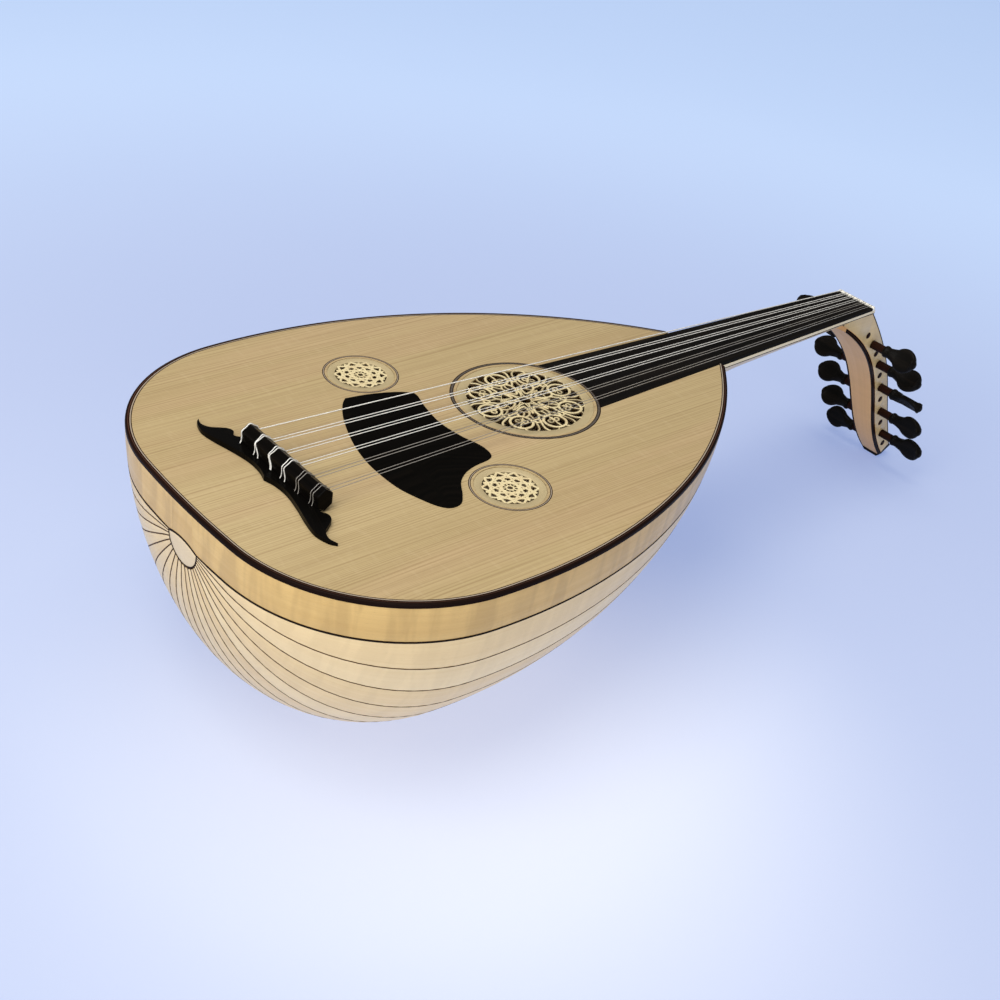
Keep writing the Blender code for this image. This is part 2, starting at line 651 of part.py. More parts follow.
def step_along(first, last, nx, nz):
    """The step along the line from first to last that moves one unit in the direction (nx, nz)."""
    run = math.dist(first, last)
    sx, sz = (last[0] - first[0]) / run, (last[1] - first[1]) / run
    across = sx * nx + sz * nz
    return sx / across, sz / across


def inside_back(t, distance):
    """Point at a distance inside the pegbox's back line; both ends stay on the pegbox's end faces."""
    x, z = head_point(HEAD_BACK, t)
    (ax, az), (bx, bz) = head_point(HEAD_BACK, max(t - 0.01, 0.0)), head_point(HEAD_BACK, min(t + 0.01, 1.0))
    run = math.dist((ax, az), (bx, bz))
    nx, nz = (az - bz) / run, (bx - ax) / run
    if t == 0.0:
        nx, nz = step_along((0.0, 0.0), (0.0, 1.0), nx, nz)
    if t == 1.0:
        nx, nz = step_along(HEAD_BACK[-1], HEAD_FRONT[-1], nx, nz)
    return x + nx * distance, z + nz * distance


def cheek_sheet(side, inset):
    """Outline of a cheek; its top corner reaches back to the neck's end, under the strip."""
    profile = [head_point(HEAD_FRONT, t) for t in spread(0.0, 1.0, 12)]
    profile += [inside_back(t, BACK_THICKNESS + GAP) for t in spread(1.0, 0.0, 12)]
    profile.append((BRIDGE_X + HEAD_BACK[0][0], FACE_Z + HEAD_FRONT[0][1]))
    return [(x, side * (head_half_width(x, z) - inset), z) for x, z in profile]


def make_cheek(name, side, look):
    """Flat side plate of the pegbox, with a hole for each peg."""
    cheek = loft(name, [cheek_sheet(side, CHEEK_THICKNESS), cheek_sheet(side, 0.0)], look, smooth=False)
    reach = (side * HEAD_HALF_WIDTH_AT_TIP / 3, side * HEAD_HALF_WIDTH * 1.5)
    for number in range(PEG_COUNT):
        x, z = peg_place(number)
        radius = PEG_RADIUS if peg_side(number) == side else PEG_TIP_RADIUS
        ring = circle(x, z, radius + PEG_HOLE_CLEARANCE, 12)
        rings = [[(px, y, pz) for px, pz in ring] for y in reach]
        boolean(cheek, cutter("%s_cutter_%d" % (name, number), rings))


def make_pegbox_back(look):
    """Curved plate behind both cheeks, as wide as the pegbox."""
    rings = []
    for t in spread(0.0, 1.0, 14):
        x, z = head_point(HEAD_BACK, t)
        ix, iz = inside_back(t, BACK_THICKNESS)
        half, inner_half = head_half_width(x, z), head_half_width(ix, iz)
        rings.append([(x, -half, z), (x, half, z), (ix, inner_half, iz), (ix, -inner_half, iz)])
    loft("pegbox_back", rings, look)


def make_end_cap(look):
    """Black plate across the pegbox tip, with a small flat foot that the head rests on."""
    front, back = head_point(HEAD_FRONT, 1.0), head_point(HEAD_BACK, 1.0)
    run = math.dist(front, back)
    out_x, out_z = (front[1] - back[1]) / run * GAP, (back[0] - front[0]) / run * GAP
    share = FOOT_WIDTH_SHARE
    profile = [(front[0] + out_x, front[1] + out_z, 1.0), (TIP_X, FACE_Z + CAP_FRONT_Z, 1.0),
               (BRIDGE_X + FOOT[1], 0.0, share), (BRIDGE_X + FOOT[0], 0.0, share),
               (back[0] + out_x, back[1] + out_z, 1.0)]
    rings = [[(x, side * head_half_width(x, z) * wide, z) for x, z, wide in profile] for side in (-1, 1)]
    loft("pegbox_end_cap", rings, look, smooth=False)


# ---- pegs ---------------------------------------------------------------------------------------
def peg_side(number):
    """Pegs enter by turns from the bass side (1) and the treble side (-1)."""
    return 1 if number % 2 == 0 else -1


def middle_line(t):
    front, back = head_point(HEAD_FRONT, t), head_point(HEAD_BACK, t)
    return (front[0] + back[0]) / 2, (front[1] + back[1]) / 2


def peg_place(number):
    """Axis of a peg in the centre plane, at equal steps along the pegbox's middle line."""
    target = FIRST_PEG_FROM_START + number * PEG_PITCH
    steps = 400
    walked = 0.0
    last = middle_line(0.0)
    for k in range(1, steps + 1):
        here = middle_line(k / steps)
        step = math.dist(last, here)
        if walked + step >= target:
            share = (target - walked) / step
            return blend(last[0], here[0], share), blend(last[1], here[1], share)
        walked += step
        last = here
    return last


def peg_rings(half, steps=12):
    """Rings of a peg along its own axis, from the cheek's outer face: each is (along, wide, thick)."""
    rings = [(-2 * half - PEG_TIP_PROUD, PEG_TIP_RADIUS, PEG_TIP_RADIUS), (0.0, PEG_RADIUS, PEG_RADIUS)]
    rings += PEG_WAIST
    for share in PEG_HEAD_SHARES:
        wide = PEG_HEAD_RADIUS * math.sqrt(1 - share * share)
        thick = blend(*PEG_HEAD_THICKNESS, share * share)
        rings.append((PEG_HEAD_CENTRE + PEG_HEAD_RADIUS * share, wide, thick))
    rings += PEG_BUTTON
    return [[(wide * math.cos(2 * math.pi * k / steps), along, thick * math.sin(2 * math.pi * k / steps))
             for k in range(steps)] for along, wide, thick in rings]


def make_peg(number, look):
    x, z = peg_place(number)
    side = peg_side(number)
    half = head_half_width(x, z)
    peg = loft("peg_%02d" % (number + 1), peg_rings(half), look)
    for vertex in peg.data.vertices:
        vertex.co.y += half
    peg.location = (x, 0.0, z)
    peg.rotation_euler = (0.0, math.radians(PEG_TURNS[number]), 0.0 if side > 0 else math.pi)


# ---- strings ------------------------------------------------------------------------------------
# peg numbers of each course, outermost courses to the pegs nearest the nut
COURSE_PEGS = ((1, 2), (3, 4), (8, 7), (10, 9), (6, 5), (0,))


def course_offsets(course):
    """Side positions of a course's strings at the bridge and at the nut."""
    singles = len(COURSE_PEGS[course]) == 1
    at_bridge = FIRST_COURSE_AT_BRIDGE + course * COURSE_PITCH_AT_BRIDGE
    at_nut = FIRST_COURSE_AT_NUT + course * COURSE_PITCH_AT_NUT
    if singles:
        return [(at_bridge, at_nut)]
    return [(at_bridge + side * PAIR_SPACING_AT_BRIDGE / 2, at_nut + side * PAIR_SPACING_AT_NUT / 2)
            for side in (-1, 1)]


def front_of_peg(number, radius):
    """Point just in front of a peg's shaft, away from the pegbox back."""
    x, z = peg_place(number)
    ahead, behind = peg_place(min(number + 1, PEG_COUNT - 1)), peg_place(max(number - 1, 0))
    run = math.dist(ahead, behind)
    reach = PEG_RADIUS + 0.0008 + radius
    return x - (ahead[1] - behind[1]) / run * reach, z + (ahead[0] - behind[0]) / run * reach


def string_route(bridge_y, nut_y, last_peg, radius):
    """Taut line from the tie block over the nut, then down the pegbox to the string's peg."""
    cx, _ = BLOCK_CENTRE
    front_x = BRIDGE_X + cx + BLOCK_HALF_THICKNESS + BLOCK_TO_STRING + radius
    route = [(front_x, bridge_y, FACE_Z + STRING_HEIGHT_AT_BRIDGE),
             (NUT_X + NUT_CREST, nut_y, FACE_Z + STRING_HEIGHT_AT_NUT + radius),
             (NUT_X + NUT_LENGTH + GAP * 4, nut_y * SPREAD_PAST_NUT, FACE_Z + radius)]
    for number in range(last_peg + 1):
        x, z = front_of_peg(number, radius)
        route.append((x, nut_y * SPREAD_IN_PEGBOX * head_half_width(x, z) / HEAD_HALF_WIDTH, z))
    return route


def tube_rings(route, radius, sides=6):
    """Rings of a round bar along a route that runs mostly in X and Z."""
    rings = []
    for k, (x, y, z) in enumerate(route):
        before, after = route[max(k - 1, 0)], route[min(k + 1, len(route) - 1)]
        dx, dz = after[0] - before[0], after[2] - before[2]
        run = math.hypot(dx, dz)
        ux, uz = -dz / run, dx / run
        rings.append([(x + ux * radius * math.sin(a), y + radius * math.cos(a), z + uz * radius * math.sin(a))
                      for a in (2 * math.pi * j / sides for j in range(sides))])
    return rings


def knot_bar(name, centre_x, centre_z, radius, ends):
    corners = [2 * math.pi * (k + 0.5) / 8 for k in range(8)]
    ring = [(centre_x + radius * math.cos(a), centre_z + radius * math.sin(a)) for a in corners]
    return cutter(name, [[(x, y, z) for x, z in ring] for y in ends])


def make_course(course, look):
    """One course; a pair's two strings are joined by a small knot bar at the tie block."""
    radius = COURSE_DIAMETERS[course] / 2
    offsets = course_offsets(course)
    pieces = []
    for number, ((bridge_y, nut_y), peg) in enumerate(zip(offsets, COURSE_PEGS[course])):
        route = string_route(bridge_y, nut_y, peg, radius)
        last = number == len(offsets) - 1
        name = "course_%s" % COURSE_NAMES[course] if last else "course_%s_partner" % COURSE_NAMES[course]
        pieces.append(loft(name, tube_rings(route, radius), look))
    string = pieces[-1]
    if len(pieces) == 2:
        start = string_route(*offsets[0], 0, radius)[0]
        bar_radius = KNOT_BAR_RATIO * radius
        ends = (offsets[0][0] - bar_radius, offsets[1][0] + bar_radius)
        bar = knot_bar("knot_%s" % COURSE_NAMES[course], start[0] + bar_radius, start[2], bar_radius, ends)
        hide_guide(pieces[0])
        boolean(string, bar, "UNION")
        boolean(string, pieces[0], "UNION")


# ---- assembly -----------------------------------------------------------------------------------
def build():
    clear_scene()
    make_bands((BAND_MAPLE, 0.35, 0.0))
    for index in range(RIB_COUNT):
        make_rib(index, (MAPLE, 0.35, 0.0))
    make_tail_cap((MAPLE, 0.35, 0.0))
    make_neck_block((SPRUCE, 0.7, 0.0))
    make_tail_block((SPRUCE, 0.7, 0.0))
    make_soundboard((SPRUCE, 0.5, 0.0))
    make_binding((EDGE_WOOD, 0.4, 0.0))
    make_rose("rosette_main", *MAIN_ROSE, 12, (ROSE_WOOD, 0.5, 0.0))
    make_rose("rosette_bass", SMALL_ROSE_X, SMALL_ROSE_Y, SMALL_ROSE_RADIUS, 8, (ROSE_WOOD, 0.5, 0.0))
    make_rose("rosette_treble", SMALL_ROSE_X, -SMALL_ROSE_Y, SMALL_ROSE_RADIUS, 8, (ROSE_WOOD, 0.5, 0.0))
    make_pickguard((EBONY, 0.35, 0.0))
    make_braces((SPRUCE, 0.7, 0.0))
    make_bridge((EBONY, 0.25, 0.0))
    slab("fingerboard", fingerboard_outline(0.0, NUT_X - GAP),
         FACE_Z - BOARD_THICKNESS, FACE_Z, (EBONY, 0.35, 0.0))
    make_neck((MAPLE, 0.4, 0.0))
    make_nut((BONE, 0.35, 0.0))
    make_cheek("pegbox_cheek_bass", 1, (MAPLE, 0.4, 0.0))
    make_cheek("pegbox_cheek_treble", -1, (MAPLE, 0.4, 0.0))
    make_pegbox_back((BAND_MAPLE, 0.45, 0.0))
    make_end_cap((EBONY, 0.35, 0.0))
    for number in range(PEG_COUNT):
        make_peg(number, (EBONY, 0.3, 0.0))
    for course in range(len(COURSE_NAMES)):
        make_course(course, (SILVER, 0.3, 1.0) if course > 1 else (GUT, 0.3, 0.0))


build()
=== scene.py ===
"""The oud's looks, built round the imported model.

Frame, as in the CAD: +X from the tail to the head, +Y to the bass side, +Z out of the level soundboard,
z = 0 on the floor.  Lengths are in metres.
"""

import json
import math

import bpy
from mathutils import Matrix, Vector


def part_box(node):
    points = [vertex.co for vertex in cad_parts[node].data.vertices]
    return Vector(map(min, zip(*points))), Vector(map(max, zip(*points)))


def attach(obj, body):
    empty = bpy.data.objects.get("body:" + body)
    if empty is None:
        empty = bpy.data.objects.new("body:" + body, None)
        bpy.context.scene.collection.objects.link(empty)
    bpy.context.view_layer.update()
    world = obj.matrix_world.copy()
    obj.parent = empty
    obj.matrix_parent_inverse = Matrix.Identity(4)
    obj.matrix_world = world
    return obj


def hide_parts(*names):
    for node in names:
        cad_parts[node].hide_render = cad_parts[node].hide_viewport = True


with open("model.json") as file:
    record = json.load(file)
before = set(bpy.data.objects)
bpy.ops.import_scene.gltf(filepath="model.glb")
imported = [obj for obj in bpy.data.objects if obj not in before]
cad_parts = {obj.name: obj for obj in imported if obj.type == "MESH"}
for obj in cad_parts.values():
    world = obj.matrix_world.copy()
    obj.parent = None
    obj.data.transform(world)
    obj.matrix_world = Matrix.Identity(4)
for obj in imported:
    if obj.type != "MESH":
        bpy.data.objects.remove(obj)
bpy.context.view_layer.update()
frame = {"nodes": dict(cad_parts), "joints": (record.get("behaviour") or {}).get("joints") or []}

# ---- sizes taken from the frame ----
FACE_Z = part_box("soundboard")[1].z
TAIL_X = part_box("edge_binding")[0].x
NUT_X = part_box("nut")[0].x
NUT_END_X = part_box("nut")[1].x
JOINT_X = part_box("side_band_bass")[1].x
BRIDGE_X = NUT_X - 0.585
HALF_WIDTH = 0.166
BOWL_DEPTH = FACE_Z
DEPTH_RATIO = BOWL_DEPTH / HALF_WIDTH

# body outline: three tangent arcs on each side
WIDEST_X = BRIDGE_X + 0.084
SIDE_RADIUS = 0.405
CORNER_RADIUS = 0.121
TAIL_RADIUS = 0.78

# bowl
RIB_COUNT = 19
SHELL = 0.0025
LINE_WIDTH = 0.0008
BAND_LINE_WIDTH = 0.0016
BAND_DEPTH = 0.029
BAND_DEPTH_AT_NECK = 0.020
BAND_TAPER_LENGTH = 0.120
INSERT_HALF_WIDTH = 0.012
CAP_HALF_WIDTH = 0.0165
CAP_HEIGHT = 0.0165
CAP_RISE = 0.003

# face
BINDING_HEIGHT = 0.003
INLAY_PROUD = 0.00006
EDGE_LINE_DEPTH = 0.0006
RING_LINE_DEPTH = 0.0008
MAIN_ROSE = (BRIDGE_X + 0.2112, 0.0)
MAIN_ROSE_RADIUS = 0.0485
ROSE_SINK = 0.0003          # the rosettes' tops lie this far under the face
STRAND_SCALE = 1.40         # boldness of the main rosette's strands
SMALL_ROSE_X = BRIDGE_X + 0.128
SMALL_ROSE_Y = 0.082
SMALL_ROSE_RADIUS = 0.0235

# bridge
BLOCK_CENTRE = Vector((BRIDGE_X + 0.0090, -0.0053, FACE_Z + 0.0083))
BLOCK_HALF_HEIGHT = 0.0078
BLOCK_HALF_THICKNESS = 0.0056
BLOCK_HALF_LENGTH = 0.0434
BASE_HEIGHT = 0.0040
TIP_HEIGHT = 0.0022
BRIDGE_MIDDLE_Y = -0.0025

# strings: course places and pair spacing, then diameters from the first course to the sixth
FIRST_COURSE_AT_BRIDGE = -0.0428
FIRST_COURSE_AT_NUT = -0.0148
COURSE_PITCH_AT_BRIDGE = 0.0158
COURSE_PITCH_AT_NUT = 0.0062
PAIR_AT_BRIDGE = 0.0030
PAIR_AT_NUT = 0.0024
COURSES = ("first", "second", "third", "fourth", "fifth", "sixth")
DIAMETERS = (0.00046, 0.00050, 0.00058, 0.00062, 0.00066, 0.00084)
COURSE_PEGS = ((1, 2), (3, 4), (8, 7), (10, 9), (6, 5), (0,))
STRING_HEIGHT_AT_BRIDGE = 0.0106
# ties: share of the pair's spacing kept behind the block, then each tail end's side step from the course
TIES = ((0.8, (-0.0020, 0.0012)), (0.8, (-0.0028, 0.0006)), (0.7, (-0.0040, 0.0010)),
        (0.4, (-0.0044, -0.0034)), (0.15, (-0.0052, -0.0002)), (0.0, (-0.0004,)))
TIE_THICKNESS = (0.00042, 0.00046, 0.00066, 0.00070, 0.00074, 0.00092)

# neck and pegbox
BOARD_THICKNESS = 0.0022
BOARD_HALF_AT_JOINT = 0.0282
BOARD_HALF_AT_NUT = 0.0190
STRIP_HEIGHT = 0.0027
NECK_DEPTH_AT_JOINT = 0.0258
NECK_DEPTH_AT_HEAD = 0.0168
HEEL_DEPTH = 0.0045
HEEL_SHARE = 0.25
HEAD_FRONT = ((0.5893, -0.0056), (0.6567, -0.0756), (0.6499, -0.0930), (0.6950, -0.1690))
HEAD_BACK = ((0.5560, -0.0165), (0.6463, -0.0681), (0.6281, -0.1216), (0.6835, -0.1785))
HEAD_HALF_WIDTH = 0.0175
HEAD_HALF_AT_TIP = 0.0103
HEAD_STEPS = 48              # rings along the pegbox's curved edges
CHEEK_THICKNESS = 0.0035
BACK_THICKNESS = 0.0035

# pegs
PEG_RADIUS = 0.0037
PEG_TIP_RADIUS = 0.0028
PEG_HEAD_RADIUS = 0.0106
PEG_HEAD_CENTRE = 0.0335
SHAFT_END = 0.0128
PEG_SIDES = 28
PEG_TURNS = (160, 65, 35, 45, 133, 137, 133, 95, 133, 100, 95)
PEGS = [joint["pos_m"] for joint in frame["joints"]]
PEG_COUNT = len(PEGS)

ROOT = "oud"
BAR_SIDES = 8                # sides of a string's cross-section
CAP_UV_SLANT = 0.01         # how far u drifts along v on a tube's end caps


# ---- small tools ----
def blend(low, high, amount):
    return low + (high - low) * amount


def spread(start, stop, steps):
    return [blend(start, stop, k / steps) for k in range(steps + 1)]


def clamp(value, low=0.0, high=1.0):
    return min(max(value, low), high)


def bezier(points, t):
    weights = ((1 - t) ** 3, 3 * t * (1 - t) ** 2, 3 * t * t * (1 - t), t ** 3)
    return tuple(sum(w * p[axis] for w, p in zip(weights, points)) for axis in (0, 1))


def smooth_curve(points, steps):
    """Catmull-Rom curve through points of any size, ends included."""
    ends = [points[0]] + list(points) + [points[-1]]
    curve = []
    for corners in zip(ends, ends[1:], ends[2:], ends[3:]):
        for k in range(steps):
            t = k / steps
            curve.append(tuple(
                0.5 * (2 * b + (c - a) * t + (2 * a - 5 * b + 4 * c - d) * t * t
                       + (3 * b - a - 3 * c + d) * t ** 3)
                for a, b, c, d in zip(*corners)))
    curve.append(tuple(points[-1]))
    return curve


def signed_volume(vertices, faces):
    total = 0.0
    for face in faces:
        a = vertices[face[0]]
        for b_index, c_index in zip(face[1:], face[2:]):
            b, c = vertices[b_index], vertices[c_index]
            total += (a[0] * (b[1] * c[2] - b[2] * c[1]) - a[1] * (b[0] * c[2] - b[2] * c[0])
                      + a[2] * (b[0] * c[1] - b[1] * c[0]))
    return total


def tube_faces(size, rows, closed=False, first=0):
    """Quads between rings of size vertices, then two end caps unless closed; first is the first vertex."""
    faces = []
    for row in range(rows if closed else rows - 1):
        here, there = first + row * size, first + (row + 1) % rows * size
        for k in range(size):
            following = (k + 1) % size
            faces.append((here + k, here + following, there + following, there + k))
    if not closed:
        last = first + (rows - 1) * size
        faces += [tuple(reversed(range(first, first + size))), tuple(range(last, last + size))]
    return faces


def make_piece(name, vertices, faces, corner_uvs, look, body=ROOT, sharp=35):
    """A mesh piece with UVs in metres, shaded smooth up to the sharp angle, riding on its body."""
    if signed_volume(vertices, faces) < 0:
        faces = [tuple(reversed(face)) for face in faces]
        corner_uvs = [list(reversed(uvs)) for uvs in corner_uvs]
    mesh = bpy.data.meshes.new(name)
    mesh.from_pydata(vertices, [], faces)
    layer = mesh.uv_layers.new(name="Grain")
    layer.data.foreach_set("uv", [value for uvs in corner_uvs for uv in uvs for value in uv])
    mesh.shade_smooth()
    mesh.set_sharp_from_angle(angle=math.radians(sharp))
    material, slot = look
    mesh.materials.append(material)
    made = bpy.data.objects.new(name, mesh)
    bpy.context.scene.collection.objects.link(made)
    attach(made, body)
    return made


def running_length(points):
    lengths = [0.0]
    for a, b in zip(points, points[1:]):
        lengths.append(lengths[-1] + math.dist(a, b))
    return lengths


def loft(name, rings, look, body=ROOT, sharp=35, closed=False, seed=0.0):
    """A tube through rings of equal length.  u runs along the rings in metres, v round each ring."""
    size = len(rings[0])
    vertices = [tuple(point) for ring in rings for point in ring]
    centres = [tuple(sum(p[axis] for p in ring) / size for axis in range(3)) for ring in rings]
    us = running_length(centres + ([centres[0]] if closed else []))
    middle = [tuple(p) for p in rings[len(rings) // 2]]
    vs = running_length(middle + middle[:1])
    corner_uvs = [[(us[row + i] + seed, vs[k + j]) for i, j in ((0, 0), (0, 1), (1, 1), (1, 0))]
                  for row in range(len(us) - 1) for k in range(size)]
    if not closed:
        corner_uvs.append([(seed + CAP_UV_SLANT * v, v) for v in reversed(vs[:-1])])
        corner_uvs.append([(us[-1] + seed + CAP_UV_SLANT * v, v) for v in vs[:-1]])
    return make_piece(name, vertices, tube_faces(size, len(rings), closed), corner_uvs, look, body, sharp)


def add_bevel(made, width, segments=2, angle=40):
    step = made.modifiers.new("Bevel", "BEVEL")
    step.width = width
    step.segments = segments
    step.limit_method = "ANGLE"
    step.angle_limit = math.radians(angle)
    step.harden_normals = False


def cut(made, tool):
    step = made.modifiers.new("Cut", "BOOLEAN")
    step.operation = "DIFFERENCE"
    step.solver = "EXACT"
    step.object = tool


def apply_modifiers(made):
    """Bakes the modifiers into the mesh."""
    graph = bpy.context.evaluated_depsgraph_get()
    mesh = bpy.data.meshes.new_from_object(made.evaluated_get(graph))
    made.modifiers.clear()
    made.data = mesh


def neighbours(points, k, closed=False):
    """The points after and before point k of a route."""
    if closed:
        return points[(k + 1) % len(points)], points[k - 1]
    return points[min(k + 1, len(points) - 1)], points[max(k - 1, 0)]


def sweep_frames(points):
    """Side and up at each point of a route, turning as little as possible along it."""
    points = [Vector(p) for p in points]
    tangents = []
    for k in range(len(points)):
        ahead, behind = neighbours(points, k)
        tangents.append((ahead - behind).normalized())
    side = tangents[0].cross(Vector((0, 0, 1)))
    if side.length < 0.05:
        side = tangents[0].cross(Vector((0, 1, 0)))
    side.normalize()
    frames = []
    for tangent in tangents:
        side = (side - tangent * side.dot(tangent)).normalized()
        frames.append((side, side.cross(tangent)))
    return frames


def round_bar(name, points, radius, look, body=ROOT):
    """A round bar along a route."""
    rings = [[Vector(point) + side * (radius * math.cos(a)) + up * (radius * math.sin(a))
              for a in (2 * math.pi * k / BAR_SIDES for k in range(BAR_SIDES))]
             for point, (side, up) in zip(points, sweep_frames(points))]
    return loft(name, rings, look, body, sharp=60)


# ---- body outline and bowl surface ----
def corner_centre():
    """Centre of the corner arc, tangent inside both the side arc and the tail arc."""
    side = (WIDEST_X, HALF_WIDTH - SIDE_RADIUS)
    tail = (TAIL_X + TAIL_RADIUS, 0.0)
    to_side = SIDE_RADIUS - CORNER_RADIUS
    to_tail = TAIL_RADIUS - CORNER_RADIUS
    apart = math.dist(side, tail)
    along = (to_side ** 2 - to_tail ** 2 + apart ** 2) / (2 * apart)
    off = math.sqrt(to_side ** 2 - along ** 2)
    ux, uy = (tail[0] - side[0]) / apart, (tail[1] - side[1]) / apart
    return side[0] + ux * along - uy * off, side[1] + uy * along + ux * off


CORNER = corner_centre()
SIDE_ARC = (WIDEST_X, HALF_WIDTH - SIDE_RADIUS, SIDE_RADIUS)
CORNER_ARC = (CORNER[0], CORNER[1], CORNER_RADIUS)
TAIL_ARC = (TAIL_X + TAIL_RADIUS, 0.0, TAIL_RADIUS)


def join_angle(arc, other):
    small, big = (arc, other) if arc[2] < other[2] else (other, arc)
    return math.atan2(small[1] - big[1], small[0] - big[0])


SIDE_TO_CORNER = join_angle(SIDE_ARC, CORNER_ARC)
CORNER_TO_TAIL = join_angle(CORNER_ARC, TAIL_ARC)
SIDE_START_X = SIDE_ARC[0] + SIDE_RADIUS * math.cos(SIDE_TO_CORNER)
CORNER_START_X = TAIL_ARC[0] + TAIL_RADIUS * math.cos(CORNER_TO_TAIL)


def arc_at(x):
    if x >= SIDE_START_X:
        return SIDE_ARC
    return CORNER_ARC if x >= CORNER_START_X else TAIL_ARC


def half_width(x):
    cx, cy, radius = arc_at(x)
    return cy + math.sqrt(max(radius ** 2 - (x - cx) ** 2, 0.0)) if x > TAIL_X else 0.0


def outline_half(inset, end_x, first_y=0.0, steps=(24, 30, 44)):
    """Points of the bass side's outline from the tail to end_x, moved inwards by inset."""
    tail, corner, side = ((cx, cy, radius - inset) for cx, cy, radius in (TAIL_ARC, CORNER_ARC, SIDE_ARC))
    first = math.pi - math.asin(first_y / tail[2])
    last = math.acos((end_x - side[0]) / side[2])
    points = []
    for (cx, cy, radius), start, stop, count in ((tail, first, CORNER_TO_TAIL, steps[0]),
                                                 (corner, CORNER_TO_TAIL, SIDE_TO_CORNER, steps[1]),
                                                 (side, SIDE_TO_CORNER, last, steps[2])):
        turns = spread(start, stop, count)
        points += [(cx + radius * math.cos(a), cy + radius * math.sin(a)) for a in turns[:-1]]
    points.append((end_x, side[1] + side[2] * math.sin(last)))
    return points


def both_halves(half):
    """The treble side's points back to the tail, then the bass side's."""
    return [(x, -y) for x, y in reversed(half[1:])] + half


def inward_normal(x, y, z):
    cx, cy, _ = arc_at(x)
    width = half_width(x)
    return Vector((-width * (x - cx) / (width - cy), -y, -z / DEPTH_RATIO ** 2)).normalized()


def band_edge(x):
    amount = clamp((x - (JOINT_X - BAND_TAPER_LENGTH)) / BAND_TAPER_LENGTH)
    return blend(BAND_DEPTH, BAND_DEPTH_AT_NECK, amount * amount)


def cap_bulge(x, y):
    """How far the tail cap's rounded upper edge pushes the band's lower edge up."""
    return CAP_RISE * max(1 - (y / CAP_HALF_WIDTH) ** 2, 0.0) if x < 0 else 0.0


def turning_point(low, high, before):
    """The value between low and high at which before stops being true, found by halving."""
    for _ in range(40):
        middle = (low + high) / 2
        low, high = (middle, high) if before(middle) else (low, middle)
    return high


def wall_point(rim, normal, depth):
    """Plan point of the bowl surface at a depth under a rim point, along the rim's inward normal."""
    def place(run):
        return rim[0] + normal[0] * run, rim[1] + normal[1] * run

    def outside(run):
        x, y = place(run)
        return half_width(x) ** 2 - y * y <= (depth / DEPTH_RATIO) ** 2

    return place(turning_point(0.0, 0.02, outside))


def rim_normal(rim):
    cx, cy, radius = arc_at(rim[0])
    return (cx - rim[0]) / radius, (cy - abs(rim[1])) / radius * (1 if rim[1] >= 0 else -1)


TAIL_LENGTH = (math.pi - CORNER_TO_TAIL) * TAIL_RADIUS
CORNER_LENGTH = (CORNER_TO_TAIL - SIDE_TO_CORNER) * CORNER_RADIUS
SIDE_LENGTH = (SIDE_TO_CORNER - math.acos((JOINT_X - WIDEST_X) / SIDE_RADIUS)) * SIDE_RADIUS
OUTLINE_LENGTH = TAIL_LENGTH + CORNER_LENGTH + SIDE_LENGTH


def outline_at(length):
    """x of the outline after the given length, measured along it from the tail centre."""
    if length < TAIL_LENGTH:
        return TAIL_ARC[0] - TAIL_RADIUS * math.cos(length / TAIL_RADIUS)
    length -= TAIL_LENGTH
    if length < CORNER_LENGTH:
        return CORNER_ARC[0] + CORNER_RADIUS * math.cos(CORNER_TO_TAIL - length / CORNER_RADIUS)
    return SIDE_ARC[0] + SIDE_RADIUS * math.cos(SIDE_TO_CORNER - (length - CORNER_LENGTH) / SIDE_RADIUS)


def rib_point(length, share, nudge=0.0):
    """Bowl surface point at a share of the section between the band edges; z is from the face."""
    x = outline_at(length)
    width = half_width(x)
    first = math.asin(min(band_edge(x) / (width * DEPTH_RATIO), 1.0))
    angle = blend(first, math.pi - first, share)
    angle += nudge / (width * math.sqrt(math.sin(angle) ** 2 + (DEPTH_RATIO * math.cos(angle)) ** 2))
    return x, width * math.cos(angle), -width * DEPTH_RATIO * math.sin(angle)


def rib_start(share, margin=0.0):
    """Length at which a rib edge comes out from the tail cap's half-oval."""
    def under_cap(length):
        _, y, z = rib_point(length, share)
        return (y / (CAP_HALF_WIDTH + margin)) ** 2 + ((z + BAND_DEPTH) / (CAP_HEIGHT + margin)) ** 2 < 1

    return turning_point(BAND_DEPTH / DEPTH_RATIO, 0.12, under_cap)


def on_shell(x, y, z, depth=0.0):
    """The bowl surface point in the part's frame, moved into the wood by depth."""
    return Vector((x, y, FACE_Z + z)) + inward_normal(x, y, z) * depth


